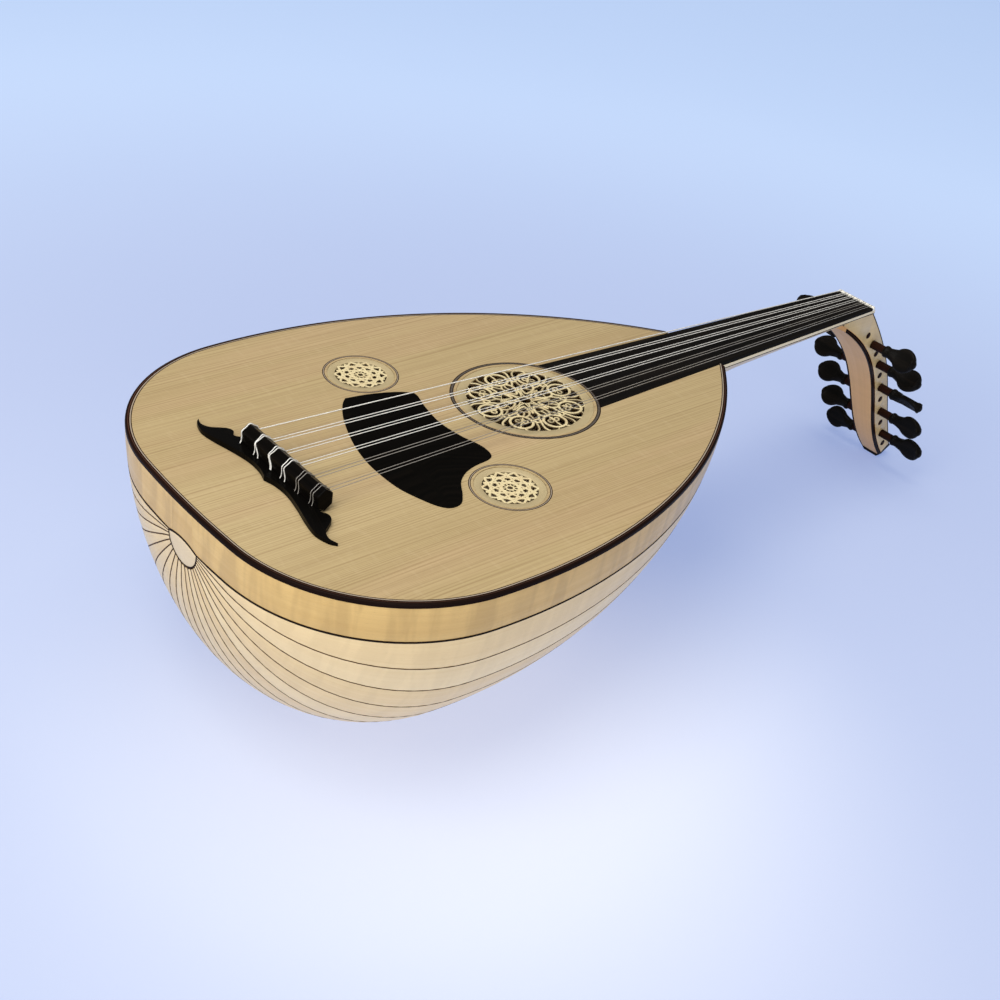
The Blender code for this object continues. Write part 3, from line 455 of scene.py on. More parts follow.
# ---- material tools ----
class Tree:
    """A material's node tree, with short ways to add and link nodes."""

    def __init__(self, name):
        self.material = bpy.data.materials.new(name)
        self.material.use_nodes = True
        self.tree = self.material.node_tree
        self.shader = self.tree.nodes["Principled BSDF"]

    def add(self, kind, inputs=(), **settings):
        made = self.tree.nodes.new("ShaderNode" + kind)
        for key, value in settings.items():
            setattr(made, key, value)
        for key, value in dict(inputs).items():
            self.put(made, key, value)
        return made

    def put(self, target, key, value):
        socket = target.inputs[key]
        if isinstance(value, bpy.types.NodeSocket):
            self.tree.links.new(value, socket)
        else:
            socket.default_value = value

    def coords(self, source, scale, offset=(0, 0, 0)):
        found = self.add("TexCoord").outputs[source]
        return self.add("Mapping", {"Vector": found, "Scale": scale, "Location": offset}).outputs["Vector"]

    def noise(self, vector, detail=3.0, roughness=0.55, distortion=0.0):
        return self.add("TexNoise", {"Vector": vector, "Scale": 1.0, "Detail": detail, "Roughness": roughness,
                                     "Distortion": distortion}).outputs["Fac"]

    def math(self, operation, a, b=0.0):
        return self.add("Math", {0: a, 1: b}, operation=operation).outputs[0]

    def times(self, value, factor):
        return self.math("MULTIPLY", value, factor)

    def axis(self, source, letter):
        """One axis of a texture coordinate."""
        found = self.add("TexCoord").outputs[source]
        return self.add("SeparateXYZ", {"Vector": found}).outputs[letter]

    def span(self, value, low, high, to_low=0.0, to_high=1.0, smooth=False):
        made = self.add("MapRange", {"Value": value, "From Min": low, "From Max": high,
                                     "To Min": to_low, "To Max": to_high})
        if smooth:
            made.interpolation_type = "SMOOTHSTEP"
        return made.outputs["Result"]

    def mix(self, amount, a, b):
        """Mixes two colours; 6, 7 and 2 are the Mix node's colour sockets."""
        return self.add("Mix", {0: amount, 6: a, 7: b}, data_type="RGBA").outputs[2]

    def bump(self, height, distance, strength=1.0, normal=None):
        made = self.add("Bump", {"Height": height, "Distance": distance, "Strength": strength})
        if normal is not None:
            self.put(made, "Normal", normal)
        return made.outputs["Normal"]

    def finish(self, colour, roughness, normal=None, **values):
        self.put(self.shader, "Base Color", colour)
        self.put(self.shader, "Roughness", roughness)
        if normal is not None:
            self.put(self.shader, "Normal", normal)
        for key, value in values.items():
            self.shader.inputs[key.replace("_", " ")].default_value = value
        return self.material


def rgb(red, green, blue):
    return (red, green, blue, 1.0)


def shade(colour, share):
    return rgb(*(part * share for part in colour[:3]))


GRAIN_PITCH = 0.00205        # between the soundboard's late-wood lines
WINDING_PITCH = 0.00018      # between the turns of a wound string's wire
ROPE_PITCH = 0.0021          # between the light veneers of the rope inlay
# painted shade and scorching: a rosette strand darkens between these two depths under the face
SHADE_AND_SCORCH_FROM = 0.00042        # depth under the face at which a rosette strand starts to darken
SHADE_AND_SCORCH_TO = 0.00105
# painted light: the centre of the floor's glow, which fills the shadow by the bowl
GLOW_CENTRE = (-0.22, -0.12, 0.0)    # the palest spot of the floor


def fine_wood(name, light, dark, source="UV", figure=0.0, fleck=0.35, band=0.5, rough=(0.30, 0.42),
              coat=0.15):
    """Close-grained wood with fibres along u (or X), broad colour bands, small flecks and cross figure."""
    t = Tree(name)

    def at(along, across, offset=0.0):
        return t.coords(source, (along, across, across), (offset, offset, offset))

    fibres = t.noise(at(18, 1500), 4.0, 0.62)
    streaks = t.noise(at(5, 260, 3.0), 3.0, 0.55)
    bands = t.noise(at(1.6, 34, 7.0), 2.0, 0.5, 0.4)
    grain = t.math("ADD", t.times(fibres, 0.45), t.times(streaks, 0.55))
    grain = t.times(t.span(grain, 0.36, 0.66), 1.0 - band)
    colour = t.mix(t.math("ADD", grain, t.times(t.span(bands, 0.30, 0.70), band)), light, dark)
    if figure:
        curl = t.span(t.noise(at(95, 16, 11.0), 2.0, 0.5, 0.6), 0.38, 0.64, smooth=True)
        colour = t.mix(t.times(curl, figure), colour, shade(dark, 0.72))
    if fleck:
        specks = t.span(t.noise(at(330, 2600, 17.0), 2.0, 0.5), 0.60, 0.72)
        colour = t.mix(t.times(specks, fleck), colour, shade(dark, 0.55))
    return t.finish(colour, t.span(streaks, 0.3, 0.7, *rough), t.bump(fibres, 0.00004),
                    Coat_Weight=coat, Coat_Roughness=0.25)


def spruce(name):
    """Straight close-lined softwood, its late-wood lines along X, in broad tan and pinkish bands."""
    t = Tree(name)

    def at(along, across, offset=0.0, height=1):
        return t.coords("Object", (along, across, height), (offset, offset, offset))

    wander = t.noise(at(1.6, 22), 2.0, 0.5)
    slow = t.noise(at(0.7, 55, 5), 1.0, 0.4)
    across = t.math("ADD", t.axis("Object", "Y"), t.times(wander, 0.0060))
    across = t.math("ADD", across, t.times(slow, 0.0160))
    lines = t.math("SINE", t.times(across, 2 * math.pi / GRAIN_PITCH))
    lines = t.span(lines, -0.1, 1.0, smooth=True)
    fading = t.span(t.noise(at(7, 300, 9), 2.0), 0.35, 0.62, 0.15, 1.0)
    hairs = t.span(t.noise(at(9, 900, 6), 2.0), 0.45, 0.68)
    fibres = t.noise(at(26, 2400, height=2400), 3.0, 0.6)
    tone = t.noise(at(0.9, 11.0, 2), 2.0, 0.45)
    blush = t.noise(at(2.4, 26.0, 12), 2.0, 0.5)
    silk = t.noise(at(300, 60, 4), 2.0, 0.6)
    colour = t.mix(t.span(tone, 0.38, 0.62), rgb(0.445, 0.340, 0.175), rgb(0.385, 0.286, 0.139))
    for amount, over in ((t.span(blush, 0.50, 0.72, 0.0, 0.65), rgb(0.465, 0.320, 0.184)),
                         (t.times(t.times(lines, fading), 0.60), rgb(0.240, 0.155, 0.066)),
                         (t.times(hairs, 0.36), rgb(0.250, 0.165, 0.075)),
                         (t.span(fibres, 0.3, 0.75, 0.0, 0.22), rgb(0.58, 0.46, 0.27)),
                         (t.span(silk, 0.55, 0.75, 0.0, 0.12), rgb(0.60, 0.48, 0.30))):
        colour = t.mix(amount, colour, over)
    normal = t.bump(lines, 0.00003, 0.8, t.bump(fibres, 0.00003))
    return t.finish(colour, t.span(fibres, 0.3, 0.7, 0.45, 0.58), normal,
                    Coat_Weight=0.02, Coat_Roughness=0.4, Specular_IOR_Level=0.2)


def ebony(name, source="UV", rough=(0.40, 0.52), tint=(0.0050, 0.0045, 0.0040), level=0.02, coat=0.0):
    """Near-black wood with faint brown streaks and open pores."""
    t = Tree(name)
    fibres = t.noise(t.coords(source, (30, 1400, 1400)), 4.0, 0.6)
    streaks = t.noise(t.coords(source, (6, 160, 160), (3, 3, 3)), 3.0, 0.6)
    pores = t.span(t.noise(t.coords(source, (160, 2600, 2600), (8, 8, 8)), 2.0), 0.62, 0.72)
    brown = rgb(tint[0] * 2.2, tint[1] * 1.9, tint[2] * 1.7)
    colour = t.mix(t.span(streaks, 0.45, 0.75), rgb(*tint), brown)
    colour = t.mix(t.times(pores, 0.6), colour, rgb(0.003, 0.003, 0.003))
    roughness = t.math("ADD", t.span(fibres, 0.3, 0.7, *rough), t.times(pores, 0.15))
    normal = t.bump(t.math("SUBTRACT", fibres, pores), 0.00003)
    return t.finish(colour, roughness, normal,
                    Coat_Weight=coat, Coat_Roughness=0.12, Specular_IOR_Level=level)


def bone(name):
    t = Tree(name)
    cloud = t.noise(t.coords("Object", (60, 200, 200)), 3.0)
    lines = t.noise(t.coords("Object", (2500, 90, 900), (4, 4, 4)), 2.0)
    colour = t.mix(t.span(cloud, 0.3, 0.7), rgb(0.92, 0.90, 0.82), rgb(0.85, 0.81, 0.71))
    colour = t.mix(t.span(lines, 0.6, 0.75, 0.0, 0.3), colour, rgb(0.50, 0.42, 0.29))
    return t.finish(colour, t.span(lines, 0.3, 0.7, 0.25, 0.38), t.bump(lines, 0.00002), Coat_Weight=0.2)


def wound_metal(name, colour):
    """A string close-wound with fine bright wire: the turns are ridges along u, with painted shade in the
    grooves between them.
    """
    t = Tree(name)
    turns = t.math("SINE", t.times(t.axis("UV", "X"), 2 * math.pi / WINDING_PITCH))
    wear = t.noise(t.coords("UV", (40, 300, 1)), 3.0)
    dark = shade(colour, 0.62)
    # painted shade: darker in the grooves between the turns
    colour = t.mix(t.span(turns, -1.0, 1.0, 0.55, 0.0), colour, dark)
    colour = t.mix(t.span(wear, 0.5, 0.8, 0.0, 0.35), colour, dark)
    return t.finish(colour, t.span(wear, 0.3, 0.7, 0.24, 0.40), t.bump(turns, 0.00002), Metallic=0.30)


def clear_nylon(name):
    t = Tree(name)
    cloud = t.noise(t.coords("UV", (60, 500, 1)), 2.0)
    colour = t.mix(t.span(cloud, 0.35, 0.7), rgb(0.30, 0.28, 0.25), rgb(0.22, 0.205, 0.185))
    return t.finish(colour, t.span(cloud, 0.3, 0.7, 0.18, 0.30), t.bump(cloud, 0.00001), Coat_Weight=0.3)


def rope_inlay(name):
    """Slanted light and dark veneers set on edge, as in a rope border; u runs round the ring."""
    t = Tree(name)
    slant = t.math("ADD", t.axis("UV", "X"), t.times(t.axis("UV", "Y"), 0.9))
    turns = t.math("SINE", t.times(slant, 2 * math.pi / ROPE_PITCH))
    fibres = t.noise(t.coords("UV", (300, 1500, 1)), 3.0)
    colour = t.mix(t.span(turns, -0.25, 0.25), rgb(0.020, 0.015, 0.012), rgb(0.130, 0.105, 0.080))
    colour = t.mix(t.times(fibres, 0.4), colour, rgb(0.06, 0.045, 0.035))
    return t.finish(colour, t.span(fibres, 0.3, 0.7, 0.35, 0.5), t.bump(fibres, 0.00002), Coat_Weight=0.1)


def carved_maple(name):
    """The rosettes' fretwork: pale wood, darker brown down the sides of each strand, for their scorching and
    as painted shade in the gaps between strands.
    """
    t = Tree(name)
    fibres = t.noise(t.coords("Object", (60, 1300, 300)), 3.0, 0.6)
    cloud = t.noise(t.coords("Object", (90, 110, 90), (4, 4, 4)), 2.0)
    colour = t.mix(t.span(fibres, 0.3, 0.7), rgb(0.70, 0.60, 0.36), rgb(0.60, 0.50, 0.28))
    colour = t.mix(t.span(cloud, 0.45, 0.70, 0.0, 0.5), colour, rgb(0.58, 0.44, 0.24))
    # painted shade: the deeper under the face, the darker, standing for shade in the gaps between strands and
    # for the sides' scorching
    shade_and_scorch = t.span(t.axis("Object", "Z"), FACE_Z - SHADE_AND_SCORCH_FROM, FACE_Z - SHADE_AND_SCORCH_TO, smooth=True)
    colour = t.mix(shade_and_scorch, colour, rgb(0.070, 0.045, 0.020))
    return t.finish(colour, t.span(fibres, 0.3, 0.7, 0.48, 0.62), t.bump(fibres, 0.00003),
                    Specular_IOR_Level=0.25)


def floor_paper(name):
    """Seamless pale studio paper with a very faint tooth. It glows: the emission is painted light, palest by
    the bowl, where it fills the bowl's shadow, and again far away.
    """
    t = Tree(name)
    cloud = t.noise(t.coords("Object", (1.2, 1.2, 1.2)), 3.0, 0.5)
    tooth = t.noise(t.coords("Object", (900, 900, 900)), 2.0, 0.6)
    colour = t.mix(cloud, rgb(0.300, 0.310, 0.300), rgb(0.315, 0.325, 0.315))
    place = t.add("TexCoord").outputs["Object"]
    away = t.add("VectorMath", {0: place, 1: GLOW_CENTRE}, operation="DISTANCE").outputs["Value"]
    glow = t.mix(t.span(away, 0.06, 0.36, smooth=True), rgb(0.450, 0.500, 0.710), rgb(0.185, 0.265, 0.545))
    glow = t.mix(t.span(away, 0.55, 1.5, smooth=True), glow, rgb(0.340, 0.480, 0.765))
    # painted light: the floor's emission, brightest round GLOW_CENTRE, fills the bowl's shadow
    t.put(t.shader, "Emission Color", t.mix(t.times(cloud, 0.05), glow, rgb(0.7, 0.7, 0.8)))
    return t.finish(colour, t.span(tooth, 0.3, 0.7, 0.75, 0.85), t.bump(tooth, 0.00004, 0.4),
                    Emission_Strength=1.0)


def make_looks():
    """Every look: its material and the record's material slot that it belongs to."""
    return {
        "board": (spruce("Soundboard spruce"), "soundboard_spruce"),
        "rib": [(fine_wood("Rib maple %d" % (k + 1), light, dark, figure=0.18, fleck=0.22, band=0.6),
                 "rib_maple") for k, (light, dark) in enumerate((
                     (rgb(0.83, 0.63, 0.330), rgb(0.72, 0.51, 0.245)),
                     (rgb(0.85, 0.66, 0.360), rgb(0.74, 0.54, 0.280)),
                     (rgb(0.80, 0.60, 0.305), rgb(0.69, 0.48, 0.225))))],
        "band": (fine_wood("Band maple", rgb(0.74, 0.50, 0.175), rgb(0.56, 0.34, 0.100), figure=0.44,
                           fleck=0.30, band=0.6), "band_maple"),
        "cap": (fine_wood("Cap maple", rgb(0.74, 0.59, 0.36), rgb(0.66, 0.50, 0.29), figure=0.08),
                "cap_maple"),
        "inside": (fine_wood("Inner spruce", rgb(0.56, 0.42, 0.24), rgb(0.46, 0.33, 0.18), source="Object",
                             coat=0.0, rough=(0.6, 0.8)), "inner_spruce"),
        "edge": (ebony("Edge wood", rough=(0.22, 0.34), tint=(0.009, 0.0045, 0.0034), level=0.02),
                 "edge_wood"),
        "edge_brown_and_highlight": (ebony("Edge brown", rough=(0.30, 0.42), tint=(0.040, 0.018, 0.011), level=0.05),
                       "edge_wood"),
        "line": (ebony("Dark line", rough=(0.40, 0.5), tint=(0.014, 0.008, 0.0055)), "edge_wood"),
        "seam": (ebony("Seam line", rough=(0.40, 0.5), tint=(0.055, 0.028, 0.015)), "edge_wood"),
        "pale_line": (fine_wood("Pale line", rgb(0.40, 0.32, 0.24), rgb(0.30, 0.24, 0.18), fleck=0.0),
                      "edge_wood"),
        "rope": (rope_inlay("Rope inlay"), "edge_wood"),
        "rose": (carved_maple("Rosette wood"), "rosette_wood"),
        "rose_rim": (fine_wood("Rosette rim", rgb(0.44, 0.355, 0.195), rgb(0.39, 0.305, 0.16),
                               source="Object", fleck=0.2, coat=0.05, rough=(0.45, 0.6)), "rosette_wood"),
        "guard": (ebony("Pickguard wood", rough=(0.50, 0.62), tint=(0.0026, 0.0024, 0.0021), level=0.005),
                  "pickguard_ebony"),
        "bridge": (ebony("Bridge wood", rough=(0.18, 0.28), tint=(0.0020, 0.0018, 0.0016), level=0.03),
                   "bridge_ebony"),
        "board_black": (ebony("Fingerboard wood", source="Object", rough=(0.40, 0.52)), "fingerboard_ebony"),
        "neck": (fine_wood("Neck maple", rgb(0.70, 0.54, 0.32), rgb(0.60, 0.43, 0.235), figure=0.12),
                 "neck_maple"),
        "strip": (fine_wood("Cream strip", rgb(0.82, 0.70, 0.47), rgb(0.74, 0.61, 0.38), fleck=0.1),
                  "neck_maple"),
        "nut": (bone("Nut bone"), "nut_bone"),
        "cheek": (fine_wood("Cheek maple", rgb(0.78, 0.59, 0.29), rgb(0.66, 0.46, 0.21), source="Object",
                            figure=0.22), "cheek_maple"),
        "back": (fine_wood("Back maple", rgb(0.79, 0.440, 0.158), rgb(0.68, 0.360, 0.120), figure=0.10,
                           rough=(0.4, 0.5)), "back_maple"),
        "end_cap": (ebony("End cap wood", rough=(0.25, 0.36), level=0.08), "end_cap_ebony"),
        "peg": (ebony("Peg wood", rough=(0.24, 0.36), level=0.03, coat=0.01), "peg_ebony"),
        "peg_shaft": (ebony("Peg shaft wood", rough=(0.36, 0.48), tint=(0.014, 0.005, 0.003), level=0.04),
                      "peg_ebony"),
        "plain": (clear_nylon("Clear nylon"), "plain_string"),
        "silver": (wound_metal("Silver winding", rgb(0.93, 0.91, 0.86)), "wound_string"),
    }


# ---- bowl ----
def seam_length(first, amount):
    """Length along the outline at an amount of a seam that starts at first; steps are closer at the tail."""
    return blend(first, OUTLINE_LENGTH, amount ** 1.15)


def make_rib(index):
    """One stave between two seams, slightly crowned, its long edges eased."""
    shares = [(index + k / 6) / RIB_COUNT for k in range(7)]
    nudges = [LINE_WIDTH / 2 * share for share in (1.0, 0.2, 0.0, 0.0, 0.0, -0.2, -1.0)]
    sinks = (0.00010, 0.0, -0.00006, -0.00008, -0.00006, 0.0, 0.00010)
    start = [rib_start(share, LINE_WIDTH) for share in shares]
    rings = []
    for amount in spread(0.0, 1.0, 56):
        places = [rib_point(seam_length(first, amount), share, nudge)
                  for share, nudge, first in zip(shares, nudges, start)]
        rings.append([on_shell(*place, sink) for place, sink in zip(places, sinks)]
                     + [on_shell(*places[k], SHELL) for k in (6, 3, 0)])
    piece = loft("rib_visual_%02d" % (index + 1), rings, LOOKS["rib"][(index * 2) % 3], sharp=28,
                 seed=index * 0.53)
    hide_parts("rib_%02d" % (index + 1))


def strip_on_shell(name, places, width, look, proud=0.00003):
    """A thin inlaid strip that follows surface places (x, y, z from the face)."""
    depth = 0.0012
    points = [on_shell(*place) for place in places]
    rings = []
    for k, (base, place) in enumerate(zip(points, places)):
        ahead, behind = neighbours(points, k)
        normal = inward_normal(*place)
        side = (ahead - behind).normalized().cross(normal).normalized() * (width / 2)
        rings.append([base - side - normal * proud, base + side - normal * proud,
                      base + side * 0.9 + normal * depth, base - side * 0.9 + normal * depth])
    loft(name, rings, look, sharp=50)


def make_rib_lines():
    for index in range(1, RIB_COUNT):
        share = index / RIB_COUNT
        first = rib_start(share)
        places = [rib_point(seam_length(first, amount), share) for amount in spread(0, 1, 60)]
        strip_on_shell("seam_line_%02d" % index, places, LINE_WIDTH, LOOKS["seam"])


def make_band(name, rims, node, seed):
    """The wide stave under the binding, gently rounded between its edges."""
    edge_sink = 0.00012
    top = BINDING_HEIGHT + 0.0001
    rings = []
    for rim in rims:
        bottom = band_edge(rim[0]) - cap_bulge(*rim) - BAND_LINE_WIDTH / 2
        places = [(*wall_point(rim, rim_normal(rim), depth), -depth) for depth in spread(top, bottom, 8)]
        rings.append([on_shell(*place, edge_sink if k in (0, 8) else 0.0) for k, place in enumerate(places)]
                     + [on_shell(*places[k], SHELL) for k in (8, 4, 0)])
    piece = loft(name, rings, LOOKS["band"], sharp=30, seed=seed)
    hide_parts(node)


def tail_rim(y):
    return TAIL_ARC[0] - math.sqrt(TAIL_RADIUS ** 2 - y * y), y


def make_bands():
    """Both side bands, the insert between them at the tail, and the dark line along their lower edge."""
    near_cap = [tail_rim(y) for y in spread(INSERT_HALF_WIDTH + 0.00005, CAP_HALF_WIDTH, 4)]
    rims = near_cap + outline_half(0.0, JOINT_X, first_y=CAP_HALF_WIDTH + 0.0004)
    make_band("side_band_visual_bass", rims, "side_band_bass", 0.4)
    make_band("side_band_visual_treble", [(x, -y) for x, y in rims], "side_band_treble", 2.1)
    ys = spread(-INSERT_HALF_WIDTH + 0.00005, INSERT_HALF_WIDTH - 0.00005, 12)
    make_band("tail_insert_visual", [tail_rim(y) for y in ys], "tail_insert", 5.0)
    half = [tail_rim(y) for y in spread(0.0, CAP_HALF_WIDTH, 10)]
    half += outline_half(0.0, JOINT_X - 0.0002, first_y=CAP_HALF_WIDTH + 0.0004)
    places = []
    for rim in both_halves(half):
        depth = band_edge(rim[0]) - cap_bulge(*rim)
        x, y = wall_point(rim, rim_normal(rim), depth)
        places.append((x, y, -depth))
    strip_on_shell("band_line", places, BAND_LINE_WIDTH, LOOKS["line"])


def tail_surface(y, z, depth=0.0):
    """Point of the nearly flat tail end, z from the face."""
    x = TAIL_ARC[0] - math.sqrt(TAIL_RADIUS ** 2 - y * y - (z / DEPTH_RATIO) ** 2)
    return Vector((x + depth, y, FACE_Z + z))


def cap_outline():
    """The tail cap's edge as (y, z from the face): half-oval below, then the bulging top."""
    top = -BAND_DEPTH - BAND_LINE_WIDTH / 2
    half = CAP_HALF_WIDTH - 0.0001
    lower = [(half * math.cos(a), top - (CAP_HEIGHT - BAND_LINE_WIDTH) * math.sin(a))
             for a in spread(0.0, math.pi, 48)]
    return lower, [(y, top + cap_bulge(TAIL_X, y)) for y in spread(-half, half, 24)[1:-1]]


def make_tail_cap():
    """Plate over the rib ends, slightly crowned, with a dark line round its lower side."""
    lower, upper = cap_outline()
    middle = -BAND_DEPTH - CAP_HEIGHT * 0.4
    rings = [[tail_surface(y * share, middle + (z - middle) * share, depth) for y, z in lower + upper]
             for share, depth in ((1.0, SHELL), (1.0, 0.00015), (0.97, -0.00002), (0.80, -0.00012),
                                  (0.50, -0.00022), (0.20, -0.00026))]
    piece = loft("tail_cap_visual", rings, LOOKS["cap"], sharp=30)
    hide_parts("tail_cap")
    places = [(tail_surface(y, z).x, y, z) for y, z in lower]
    strip_on_shell("tail_cap_line", places, LINE_WIDTH * 1.2, LOOKS["line"], proud=0.00018)


# ---- face ----
def inlay_section(start, stop, proud, depth):
    """Corners of an inlaid line's section, as (across, height)."""
    return ((start, -depth), (start, proud), (stop, proud), (stop, -depth))


def edge_rings(section, end_x):
    """Rings along the body outline of a section given as (inset, height over the face)."""
    lines = [both_halves(outline_half(inset, end_x)) for inset, _ in section]
    return [[(*line[k], FACE_Z + height) for line, (_, height) in zip(lines, section)]
            for k in range(len(lines[0]))]


def turned_rings(centre, section, base, steps):
    """Rings round an upright axis of a section given as (radius, height over base)."""
    return [[(centre[0] + ux * r, centre[1] + uy * r, base + h) for r, h in section]
            for ux, uy in circle_points(0.0, 0.0, 1.0, steps)]


def make_binding():
    """Dark edge strip with a rounded outer shoulder, then four thinner lines inside it; the first, brown one
    is a painted highlight beside the shoulder.
    """
    end_x = JOINT_X - 0.0037
    inner = 0.0016
    section = [(0.0, -BINDING_HEIGHT), (-0.00005, -0.0016), (0.0001, -0.0007), (0.0004, -0.00018),
               (0.0009, 0.0), (inner, 0.00004), (inner, -BINDING_HEIGHT)]
    piece = loft("edge_binding_visual", edge_rings(section, end_x), LOOKS["edge"], sharp=50)
    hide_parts("edge_binding")
    # the brown line is a painted highlight beside the binding's shoulder; the other three are inlaid lines
    for name, width, look in (("brown", 0.0006, "edge_brown_and_highlight"), ("black", 0.0008, "edge"),
                              ("pale", 0.0007, "pale_line"), ("dark", 0.0006, "line")):
        section = inlay_section(inner, inner + width, INLAY_PROUD, EDGE_LINE_DEPTH)
        loft("edge_line_" + name, edge_rings(section, end_x), LOOKS[look], sharp=50)
        inner += width


# a rosette strand's section, as shares of its half width and of its thickness
STRAND_SHAPE = ((-1.0, -1.0), (-1.0, -0.60), (-0.72, -0.20), (0.0, 0.0),
                (0.72, -0.20), (1.0, -0.60), (1.0, -1.0))
STRAND_END = 0.55            # share of the width at a strand's ends


def strand(points, width, top, thickness, closed=False):
    """Rings of a flat carved strand in the rosette's plane: rounded shoulders over a flat bottom."""
    rings = []
    for k, (x, y) in enumerate(points):
        ahead, behind = neighbours(points, k, closed)
        dx, dy = ahead[0] - behind[0], ahead[1] - behind[1]
        run = math.hypot(dx, dy)
        at_end = not closed and k in (0, len(points) - 1)
        half = width * (STRAND_END if at_end else 1.0) / 2
        rings.append([(x - dy / run * half * s, y + dx / run * half * s, top + h * thickness)
                      for s, h in STRAND_SHAPE])
    return rings


def join_meshes(name, ring_sets, look, node=None):
    """One piece from several strands, given as (closed, rings)."""
    vertices, faces = [], []
    for closed, rings in ring_sets:
        batch = tube_faces(len(rings[0]), len(rings), closed, len(vertices))
        vertices += [tuple(p) for ring in rings for p in ring]
        if signed_volume(vertices, batch) < 0:
            batch = [tuple(reversed(face)) for face in batch]
        faces += batch
    uvs = [[vertices[i][:2] for i in face] for face in faces]
    made = make_piece(name, vertices, faces, uvs, look, sharp=40)
    if node:
        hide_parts(node)


def circle_points(cx, cy, radius, steps, start=0.0):
    return [(cx + radius * math.cos(start + 2 * math.pi * k / steps),
             cy + radius * math.sin(start + 2 * math.pi * k / steps)) for k in range(steps)]


def spiral(cx, cy, radius, start, turns, shrink):
    """A scroll that curls inwards from radius to radius * shrink."""
    points = []
    for t in spread(0.0, 1.0, 26):
        r = radius * blend(1.0, shrink, t)
        a = start + turns * 2 * math.pi * t
        points.append((cx + r * math.cos(a), cy + r * math.sin(a)))
    return points


def turn_about(points, centre, angle):
    """Points given from the centre, turned and moved into place."""
    c, s = math.cos(angle), math.sin(angle)
    return [(centre[0] + x * c - y * s, centre[1] + x * s + y * c) for x, y in points]


def rim_rings(centre, outer, inner, top, thickness, steps=96):
    """The plain ring round a rosette's fretwork, its upper edges eased."""
    section = ((outer, -thickness), (outer, -0.0002), (outer - 0.0002, 0.0), (inner + 0.0005, 0.0),
               (inner, -0.0004), (inner, -thickness))
    return turned_rings(centre, section, top, steps)


def main_rose_motifs():
    """Curves of one eighth of the main rosette, from its centre along X: (points, width, closed)."""
    motifs = [(circle_points(0.0318, 0.0, 0.0080, 30), 0.0017, True)]
    side = [
        (spiral(0.0300, 0.0026, 0.0030, math.radians(200), 1.15, 0.30), 0.0012),
        (smooth_curve([(0.0090, 0.0), (0.0140, 0.0034), (0.0196, 0.0044), (0.0236, 0.0022),
                       (0.0240, 0.0)], 7), 0.0016),
        (smooth_curve([(0.0196, 0.0044), (0.0236, 0.0076), (0.0300, 0.0105), (0.0360, 0.0126),
                       (0.0405, 0.0118)], 7), 0.0015),
        (spiral(0.0257, 0.0106, 0.0032, math.radians(-70), 1.1, 0.28), 0.0012),
        (smooth_curve([(0.0400, 0.0030), (0.0420, 0.0064), (0.0408, 0.0105)], 6), 0.0012),
        (smooth_curve([(0.0050, 0.0006), (0.0085, 0.0030), (0.0125, 0.0042), (0.0160, 0.0068),
                       (0.0168, 0.0069)], 6), 0.0012),
    ]
    for hand in (1, -1):
        motifs += [([(x, y * hand) for x, y in points], width, False) for points, width in side]
    stem = smooth_curve([(0.0258, 0.0), (0.0300, 0.0008), (0.0345, 0.0), (0.0398, 0.0)], 6)
    bud = smooth_curve([(0.0168, 0.0), (0.0200, 0.0009), (0.0238, 0.0)], 5)
    return motifs + [(stem, 0.0012, False), (bud, 0.0013, False)]


def make_main_rose():
    """Pierced arabesque: eight scroll medallions round an eight-petalled flower."""
    top, thick = FACE_Z - ROSE_SINK, 0.0014
    rim = rim_rings(MAIN_ROSE, MAIN_ROSE_RADIUS + 0.0002, 0.0419, top, thick)
    join_meshes("rosette_main_rim", [(True, rim)], LOOKS["rose_rim"])
    sets = []
    motifs = main_rose_motifs()
    for eighth in range(8):
        for index, (points, width, closed) in enumerate(motifs):
            turned = turn_about(points, MAIN_ROSE, eighth * math.pi / 4)
            level = top - 0.00009 * (index % 4)
            sets.append((closed, strand(turned, width * STRAND_SCALE, level, thick, closed)))
    for ring_radius, width in ((0.0046, 0.0015), (0.0168, 0.0010)):
        points = circle_points(*MAIN_ROSE, ring_radius, 64)
        sets.append((True, strand(points, width, top - 0.0002, thick, True)))
    join_meshes("rosette_main_visual", sets, LOOKS["rose"], "rosette_main")


def make_small_rose(name, node, centre):
    """Interlaced strands: two star polygons woven over rings."""
    field, fold = 0.0188, 10
    top, thick = FACE_Z - ROSE_SINK, 0.0013
    rim = rim_rings(centre, SMALL_ROSE_RADIUS + 0.0002, field - 0.0005, top, thick, 72)
    join_meshes(name + "_rim", [(True, rim)], LOOKS["rose_rim"])
    sets = []
    for ring, (reach, jump, width) in enumerate(((field, 3, 0.0022), (field * 0.93, 4, 0.0020))):
        corners = circle_points(0.0, 0.0, reach, fold, ring * math.pi / fold)
        for k, a in enumerate(corners):
            b = corners[(k + jump) % fold]
            bowed = ((a[0] + b[0]) / 2 * 1.10, (a[1] + b[1]) / 2 * 1.10)
            line = turn_about(smooth_curve([a, bowed, b], 8), centre, 0.1)
            sets.append((False, strand(line, width, top - 0.00003 * ((k + ring) % 3), thick)))
    for reach, width in ((0.0052, 0.0013), (0.0024, 0.0016)):
        sets.append((True, strand(circle_points(*centre, reach, 36), width, top - 0.0001, thick, True)))
    petal = smooth_curve([(0.0020, 0.0), (0.0046, 0.0009), (0.0078, 0.0)], 5)
    for k in range(fold):
        line = turn_about(petal, centre, 2 * math.pi * k / fold)
        sets.append((False, strand(line, 0.0010, top - 0.00006, thick)))
    join_meshes(name, sets, LOOKS["rose"], node)


